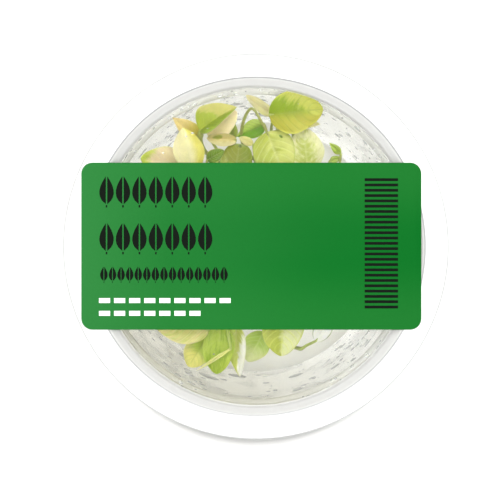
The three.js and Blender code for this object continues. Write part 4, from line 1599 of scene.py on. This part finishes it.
def plantlets() -> tuple[Plantlet, ...]:
    """The seven plantlets with their leaves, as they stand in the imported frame."""
    deep_lime = LeafTissue("#a9c140", "#c3d160", marble=1.2, vein="#c9d67a")
    mid_green = LeafTissue("#8fae3c", "#b4c766", marble=1.3, vein="#b8c978")
    pale_marble = LeafTissue("#bccf6c", "#e4e8b4", cut=0.0, marble=1.8)
    return (
        Plantlet("back_left", (-9, 27), 75, 36, (
            Leaf(
                "curled", Tone.BLUSH, Form.BLUNT, (-6.2, 33.6, 36.5), (-15.4, 34, 39.6), 6.2,
                LeafTissue(
                    "#ddcf8f", "#e9dfa8", across=-0.5, marble=0.6, spot="#a2a84a",
                    spot_at=(0.66, 0.3), spot_size=(0.17, 0.4), vein_strength=0.1, rim="#e8e0aa",
                ),
                roll=-8, fold=48, arch=0.6, bows=((-1, 0, 0),), hollow=1.9,
            ),
            Leaf(
                "wedge", Tone.GREEN, Form.LANCE, (-7.5, 34.3, 30), (-6.7, 39.6, 33), 3.2,
                LeafTissue("#a9b95a", "#98ab45", marble=0.8, rim_strength=0.1), fold=6, arch=0.3, wave=0.05,
            ),
            Leaf(
                "orange_tip", Tone.BLUSH, Form.HEART, (-18.3, 34.6, 37), (-25.9, 40.2, 42), 6,
                LeafTissue(
                    "#c8b850", "#e6cd8a", cut=0.15, along=1.2, marble=0.6, soft=0.5, vein_strength=0.1
                ),
                arch=0.6, bows=((-2, 0, 0),), wave=0.15,
            ),
            Leaf(
                "fan", Tone.MARBLED, Form.HEART, (-17.5, 36.2, 41), (-5.9, 43.4, 43.5), 11.8,
                LeafTissue(
                    "#9fae36", "#c3be68", cut=-0.5, across=-1.9, along=2.0, marble=2.0, soft=0.3,
                    grain_mm=5.0, streak=0.25, vein="#b3bd48", vein_strength=0.4, flank="#889f26",
                ),
                roll=-30, fold=32, arch=0.8, bows=((-2.5, 0, 0),), stalk="#8f9b34", club=(0.9, 0.6),
            ),
            Leaf(
                "fan_lower", Tone.BLUSH, Form.OVAL, (-14.8, 34.6, 36.5), (-6, 42.6, 38.5), 7.6,
                LeafTissue("#ffecb8", "#f4e898", marble=0.9, vein_strength=0.1), fold=6, arch=0.8,
                bows=((0, -1, 0),),
            ),
        )),
        Plantlet("back", (5, 27), 110, 36, (
            Leaf(
                "tan_tip", Tone.CREAM, Form.HEART, (10.7, 39.5, 38), (20.2, 38.4, 39), 4.8,
                LeafTissue("#f2ecac", "#e6df8c", marble=0.6, rim="#b5ad58", rim_strength=0.5), arch=0.5,
                bows=((3, 0, 0),), wave=0.1,
            ),
            Leaf(
                "pale_tip", Tone.CREAM, Form.OVAL, (5.4, 41.3, 36.5), (-3.0, 47.4, 40), 3.8,
                LeafTissue("#dfd8a2", "#d6cf8c", marble=0.6, vein_strength=0.0), fold=10, arch=0.4,
                bows=((0, 1, -2),), wave=0.1,
            ),
            Leaf(
                "pale_heart", Tone.MARBLED, Form.HEART, (3.5, 35.8, 41), (10, 19.6, 41), 13.6,
                LeafTissue(
                    "#a9b243", "#ccd274", cut=0.0, across=-0.45, marble=1.8, soft=0.3, grain_mm=2.6,
                    vein="#dfe6a0", vein_strength=0.3, rim="#a3b350", rim_strength=0.6, spot="#6d8a20",
                    spot_at=(0.17, -0.6), spot_size=(0.04, 0.08), spot_fray=0.3,
                ),
                roll=4, arch=1.2, bows=((-6.2, 1.5, -0.5), (-7.5, 6, 2.5), (-4.5, 9.3, 4)), stalk="#86863c",
            ),
            Leaf(
                "sprig", Tone.GREEN, Form.HEART, (2.8, 38.6, 36), (-6.0, 34.9, 34), 6,
                LeafTissue(
                    "#69991c", "#8fb53c", cut=-0.6, across=0.3, marble=1.2, vein="#74842e",
                    vein_strength=0.5, flank="#b4cb60", rim="#b4c868",
                ),
                fold=10, arch=0.4, bows=((1, 0, 0),), wave=0.08,
            ),
            Leaf(
                "shield", Tone.LIME, Form.OVAL, (4.1, 40.8, 45.5), (20.8, 42.4, 46.5), 13.4,
                LeafTissue(
                    "#869f00", "#bdc150", cut=-0.4, across=-1.0, along=1.0, marble=1.5, soft=0.25,
                    flank="#aeaa32", vein="#8d9f2c", vein_strength=0.42, rim="#d0d268", rim_strength=0.6,
                    streak=4.0,
                ),
                fold=6, bows=((1.5, 3.5, -2),), wave=0.16,
            ),
        )),
        Plantlet("left", (-21, 16), 160, 40, (
            Leaf(
                "dark_scrap", Tone.GREEN, Form.OVAL, (-15.3, 27.2, 37.5), (-10, 30.2, 38.5), 4.4,
                LeafTissue("#6c8a1a", "#82a02c", marble=0.8, rim="#dcd98a", rim_strength=0.9), arch=0.3,
                bows=((1, 0, 0),), wave=0.05,
            ),
            Leaf(
                "far_left", Tone.BLUSH, Form.OVAL, (-22.2, 25.6, 34), (-36.3, 27.9, 37), 10,
                LeafTissue(
                    "#edd9b0", "#bfcc48", cut=-1.0, along=1.5, edge=0.35, marble=1.2, soft=0.3,
                    vein_strength=0.1, rim="#e0da92", rim_strength=0.6,
                ),
                bows=((-1, 0, 0),),
            ),
            Leaf(
                "left_low", Tone.GREEN, Form.HEART, (-28, 8, 25), (-36, -1, 26), 9, mid_green, arch=0.8,
                bows=((-1, 0, 0),),
            ),
            Leaf("left_flat", Tone.MARBLED, Form.HEART, (-26, 10, 40), (-39, 5, 41), 11, pale_marble),
            Leaf(
                "cream", Tone.CREAM, Form.SPOON, (-19, 20.7, 43), (-22.6, 36.8, 45), 9.6,
                LeafTissue(
                    "#e6e0a8", "#d3cb5c", cut=-0.45, across=1.2, marble=0.3, soft=0.35, vein="#f6f3cc",
                    vein_strength=0.05, rim="#e2df8a",
                ),
                roll=8, fold=5, bows=((1, 0, 0),), wave=0.12,
            ),
        )),
        Plantlet("front_left", (-12, -17), 250, 140, (
            Leaf(
                "left_mid", Tone.CREAM, Form.HEART, (-20, -9, 37), (-33, -12, 39), 10.5,
                LeafTissue("#e9e4a6", "#c3cf62", cut=-0.15, marble=1.5),
            ),
            Leaf(
                "lime_left", Tone.LIME, Form.OVAL, (-15.8, -29.1, 34), (-21.3, -38.2, 33), 9,
                LeafTissue(
                    "#a8bc45", "#d9d57c", cut=0.0, along=1.0, across=0.3, marble=0.8, soft=0.3,
                    vein="#8a9c34", vein_strength=0.3,
                ),
                arch=0.8, bows=((-2, 0, 0),),
            ),
            Leaf(
                "lime_front", Tone.LIME, Form.OVAL, (-11, -24.6, 38), (-12.4, -40.2, 36.5), 10.2,
                LeafTissue(
                    "#a8bb44", "#89a52a", cut=-0.05, marble=1.9, grain_mm=6.0, streak=0.2, vein="#c4d466",
                    vein_strength=0.2, rim="#c4d468",
                ),
                arch=1.2,
            ),
            Leaf(
                "pale_edge", Tone.CREAM, Form.LANCE, (-7.8, -31.9, 41), (-18.5, -38.8, 40.5), 1.3,
                LeafTissue("#e4e594", "#ecedac", marble=0.5, vein_strength=0.0), fold=4, arch=0.6,
                bows=((0, 0, 3),), wave=0.0, stalk="#a3b944",
            ),
            Leaf(
                "white_blade", Tone.MARBLED, Form.HEART, (-6.2, -24.6, 36), (-5, -41.4, 33), 7.4,
                LeafTissue("#b9c25c", "#f0f1e0", cut=-0.35, across=-1.3, along=1.1, marble=1.7, soft=0.3),
                roll=24, fold=14, arch=0.6, bows=((1, 0, 0),), wave=0.1,
            ),
            Leaf(
                "streaked", Tone.MARBLED, Form.OVAL, (-14.6, -26.0, 42), (-31.4, -24.4, 43), 10.2,
                LeafTissue(
                    "#dccd90", "#b0bb58", cut=0.0, marble=2.2, soft=0.4, streak=5.0, rim="#e4dca0",
                    rim_strength=0.7, seed=4.0,
                ),
                roll=4, bows=((0, 0, 3),),
            ),
        )),
        Plantlet("front", (4, -16), 285, 350, (
            Leaf(
                "white_side", Tone.CREAM, Form.HEART, (18.7, -29.4, 43), (25, -18.6, 42), 5.6,
                LeafTissue(
                    "#f2f4ea", "#e9eed4", marble=0.8, rim="#86984c", rim_strength=1.0, vein_strength=0.1
                ),
                arch=0.6, bows=((0.9, -10.3, 0), (1.2, -9.1, 3), (0.5, -4.6, 0.2)), stalk="#8c9b50",
                wave=0.1, club=(0.52, 0.15),
            ),
            Leaf("front_low", Tone.GREEN, Form.HEART, (11, -9, 26), (20, -1, 28), 8, mid_green, arch=0.8),
            Leaf(
                "front_right", Tone.LIME, Form.HEART, (14, -10, 37), (25, -13, 37.5), 9.5, deep_lime,
                bows=((0, 0, 2),),
            ),
            Leaf(
                "folded", Tone.MARBLED, Form.OVAL, (8.6, -19.2, 41), (7.9, -34.2, 42), 13.6,
                LeafTissue(
                    "#aab34a", "#d2d7a2", cut=0.05, across=-1.7, marble=1.5, soft=0.3, vein="#d5dd70",
                    vein_strength=0.5, rim="#b9c456", rim_strength=0.7,
                ),
                fold=14, bows=((0, 0, 2),),
            ),
            Leaf(
                "soft_green", Tone.GREEN, Form.OVAL, (2.6, -27.4, 27), (-2.6, -37, 26), 8.5,
                LeafTissue("#abc558", "#cdd59a", cut=-0.15, along=1.0, marble=0.9, soft=0.5), fold=6,
                arch=0.8,
            ),
        )),
        Plantlet("right", (20, 13), 20, 350, (
            Leaf("right_low", Tone.GREEN, Form.HEART, (26, 12, 27), (34, 6, 30), 8.5, mid_green, arch=0.8),
            Leaf(
                "sprout", Tone.LIME, Form.LANCE, (26.8, 29.1, 37.5), (23.1, 32.6, 39), 2.6,
                LeafTissue("#a9c050", "#bccf68", marble=0.6, rim_strength=0.1), fold=12, arch=0.3,
                bows=((2, 0, 0),), wave=0.0,
            ),
            Leaf(
                "bud", Tone.GREEN, Form.OVAL, (23.6, 27.2, 33.5), (27, 28.2, 34), 2.4,
                LeafTissue("#b7cb6a", "#a4bd55", marble=0.6, rim_strength=0.1), fold=10, arch=0.3, wave=0.0,
                stalk="#7f9040",
            ),
            Leaf(
                "white_marbled", Tone.MARBLED, Form.SPOON, (16.7, 20.9, 38.5), (14.8, 37.6, 40.5), 11.4,
                LeafTissue(
                    "#cfd27c", "#ebebb8", cut=0.0, edge=0.3, marble=2.6, spot="#b8c35c",
                    spot_at=(0.45, 0.0), spot_size=(0.34, 0.6), spot_fray=1.6, spot_soft=0.8, seed=2.0,
                ),
                arch=1.2,
            ),
            Leaf(
                "right_flat", Tone.MARBLED, Form.HEART, (14, 6, 41), (27, 0, 43), 12, pale_marble, arch=1.2
            ),
        )),
        Plantlet("middle", (-3, 4), 200, 110, (
            # The olive leaf's pale bluish-green band at its tip is a painted highlight along its top edge,
            # and the dark spot at its tip is painted shade of the gap beside it.
            Leaf(
                "olive", Tone.GREEN, Form.SQUARE, (-7.2, 19.1, 36.5), (-5.1, 32.5, 36), 10.2,
                LeafTissue(
                    "#8f952a", "#b0bf88", cut=-2.2, along=2.35, marble=0.4, rim="#a9b46a", rim_strength=0.4,
                    vein_strength=0.1, flank="#82901c", spot="#5b6c1c", spot_at=(0.95, 0.1),
                    spot_size=(0.04, 0.2), spot_fray=0.3,
                ),
                fold=4, arch=0.8,
            ),
            Leaf("centre_low", Tone.LIME, Form.HEART, (-10, -2, 29), (-19, -6, 30), 9, deep_lime, arch=0.8),
            Leaf(
                "centre", Tone.LIME, Form.HEART, (0, 0, 41.5), (3, -14, 43), 11, deep_lime, arch=1.2,
                bows=((1, 0, 0),),
            ),
            Leaf(
                "centre_left", Tone.CREAM, Form.HEART, (-12, 8, 42), (-15, -8, 44), 11.5,
                LeafTissue("#ece7ac", "#c9d36c", marble=1.6, seed=6.0), arch=1.2, bows=((0, 0, 3),),
            ),
            Leaf(
                "cream_flap", Tone.CREAM, Form.OVAL, (-0.8, 32.2, 37.5), (-5.2, 34.4, 37), 2.8,
                LeafTissue("#dcd58f", "#e8e2a6", marble=0.6, vein_strength=0.1), arch=0.3,
                bows=((1.5, 0, -2),), wave=0.05,
            ),
        )),
    )


# The studio


@dataclass
class Studio:
    """A white light table under a white dome, and a camera straight above the lid.

    A pad of the table's glow has where it starts to fade, where it ends, and its strength.
    """

    camera_above_lid: float = 450.0
    lid_top: float = 52.0
    aim: Pair = (-1.8, -1.07)
    view_width: float = 152.7
    sensor: float = 36.0
    floor_half: float = 1600.0
    floor_height: float = -0.05
    pads: tuple[Vec, ...] = ((44.0, 71.0, 0.62), (37.0, 47.0, 0.55))
    pad_middle: Pair = (1.3, 1.8)
    dome_bright: Vec = (-0.35, -0.65, 0.55)
    key_strength: float = 2.2
    key_angle: float = 2.4
    key_lean: float = 9.0
    inner_strength: float = 1.2
    fill_strength: float = 0.35
    inner_angle: float = 45.0
    inner_lean: float = 14.0
    wall_lean: float = -3.0
    wall_fill_strength: float = 0.42

    def camera(self) -> None:
        """Places the camera, straight down with +Y up in the picture."""
        data = bpy.data.cameras.new("camera")
        data.sensor_width = self.sensor
        data.lens = self.sensor * self.camera_above_lid / self.view_width
        made = linked("camera", data)
        made.location = [c * MM for c in (*self.aim, self.lid_top + self.camera_above_lid)]
        bpy.context.scene.camera = made

    def floor(self) -> None:
        """Lays the floor: white acrylic, lit a little from below."""
        material, tree, place_on = new_material("white_acrylic_table")
        grain = add(tree, NOISE, {"Vector": place_on, "Scale": 60.0, "Detail": 3.0})
        rough = add(tree, RANGE, {"Value": grain, "To Min": 0.55, "To Max": 0.65})
        middle = (self.pad_middle[0] * MM, self.pad_middle[1] * MM, 0.0)
        far = add(tree, VECTOR_MATH, {0: place_on, 1: middle}, operation="DISTANCE").outputs["Value"]
        glow = None
        for inner, outer, strength in self.pads:
            pad = add(tree, RANGE, {
                "Value": far, "From Min": inner * MM, "From Max": outer * MM, "To Min": strength,
                "To Max": 0.0,
            }, **SMOOTH)
            glow = add(tree, MATH, {0: pad, 1: glow}) if glow else pad
        surface(tree, {
            "Base Color": linear("#d5d5d4"), "Roughness": rough, "Specular IOR Level": 0.1,
            "Emission Color": linear("#ffffff"), "Emission Strength": glow,
        })
        half = self.floor_half
        corners = [(-half, -half), (half, -half), (half, half), (-half, half)]
        mesh = plain_mesh("table", [(*corner, self.floor_height) for corner in corners], [[0, 1, 2, 3]])
        mesh.materials.append(material)
        linked("table", mesh)

    def dome(self) -> None:
        """Lights the scene from all round, more from the front and the left, and less from overhead."""
        world = bpy.data.worlds.new("studio_dome")
        world.use_nodes = True
        tree = world.node_tree
        tree.nodes.clear()
        way = add(tree, "ShaderNodeTexCoord").outputs["Generated"]
        bright = Vector(self.dome_bright).normalized()
        towards = add(tree, VECTOR_MATH, {0: way, 1: bright}, **TOWARDS).outputs["Value"]
        strength = add(tree, RANGE, {
            "Value": towards, "From Min": -0.3, "From Max": 1.0, "To Min": 0.94, "To Max": 1.16
        }, **SMOOTH)
        gap = add(tree, RANGE, {
            "Value": add(tree, SPLIT, {0: way}).outputs[2], "From Min": 0.955, "From Max": 0.985,
            "To Min": 1.0, "To Max": 0.3,
        }, **SMOOTH)
        shown = add(tree, MATH, {0: strength, 1: gap}, **TIMES)
        light = add(tree, "ShaderNodeBackground", {"Color": linear("#ffffff"), "Strength": shown})
        add(tree, "ShaderNodeOutputWorld", {"Surface": light})
        bpy.context.scene.world = world

    def sun(self, name: str, strength: float, angle: float, lean: float) -> bpy.types.Object:
        """Adds a far, soft light, nearly overhead and a little from the back.

        Args:
            name: its name.
            strength: its strength.
            angle: how wide it looks, in degrees.
            lean: how far it leans to the back, in degrees.

        Returns:
            The light.
        """
        data = bpy.data.lights.new(name, "SUN")
        data.energy = strength
        data.angle = math.radians(angle)
        data.cycles.use_multiple_importance_sampling = False
        made = linked(name, data)
        made.visible_glossy = "walls" not in name
        made.rotation_euler = (math.radians(-lean), 0.0, 0.0)
        return made

    def build(self) -> bpy.types.Object:
        """Builds the camera, the floor and the dome, and gives back the key light."""
        self.camera()
        self.floor()
        key = self.sun("key", self.key_strength, self.key_angle, self.key_lean)
        self.dome()
        bpy.context.scene.view_settings.view_transform = "Standard"
        return key

    def light_inside(
        self, key: bpy.types.Object, plants: Sequence[bpy.types.Object], walls: Sequence[bpy.types.Object]
    ) -> None:
        """Lights what stands in the cup as through real clear plastic, by lights of its own.

        Args:
            key: the key light, which leaves these pieces out.
            plants: the pieces in the cup, which cast shadows in it.
            walls: the cup and the water on it, which cast none.
        """
        groups = {}
        for name, pieces in (("outside", [*plants, *walls]), ("lit", plants), ("walls", walls)):
            groups[name] = bpy.data.collections.new(f"key_{name}")
            for piece in pieces:
                groups[name].objects.link(piece)
        for member in groups["outside"].collection_objects:
            member.light_linking.link_state = "EXCLUDE"
        key.light_linking.receiver_collection = groups["outside"]
        settings = (
            ("lit", self.inner_lean, self.fill_strength),
            ("walls", self.wall_lean, self.wall_fill_strength),
        )
        for name, lean, fill_strength in settings:
            inner = self.sun(f"key_inside_{name}", self.inner_strength, self.inner_angle, lean)
            inner.light_linking.receiver_collection = groups[name]
            inner.light_linking.blocker_collection = groups["lit"]
            fill = self.sun(f"fill_inside_{name}", fill_strength, self.inner_angle, 0.0)
            fill.light_linking.receiver_collection = groups[name]
            fill.data.use_shadow = False


def main() -> None:
    """Builds the cup, the plants, the water and the studio."""
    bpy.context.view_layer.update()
    studio = Studio()
    key = studio.build()
    cup = Cup()
    lid = Lid()
    lid.build()
    vessel = cup.build()
    inside = [Gel().build(cup)]
    Label().build()
    for plantlet in plantlets():
        inside += plantlet.build()
    water = Condensation(cup, lid).build()
    studio.light_inside(key, inside, [vessel, *water])


if __name__ == "__main__":
    main()
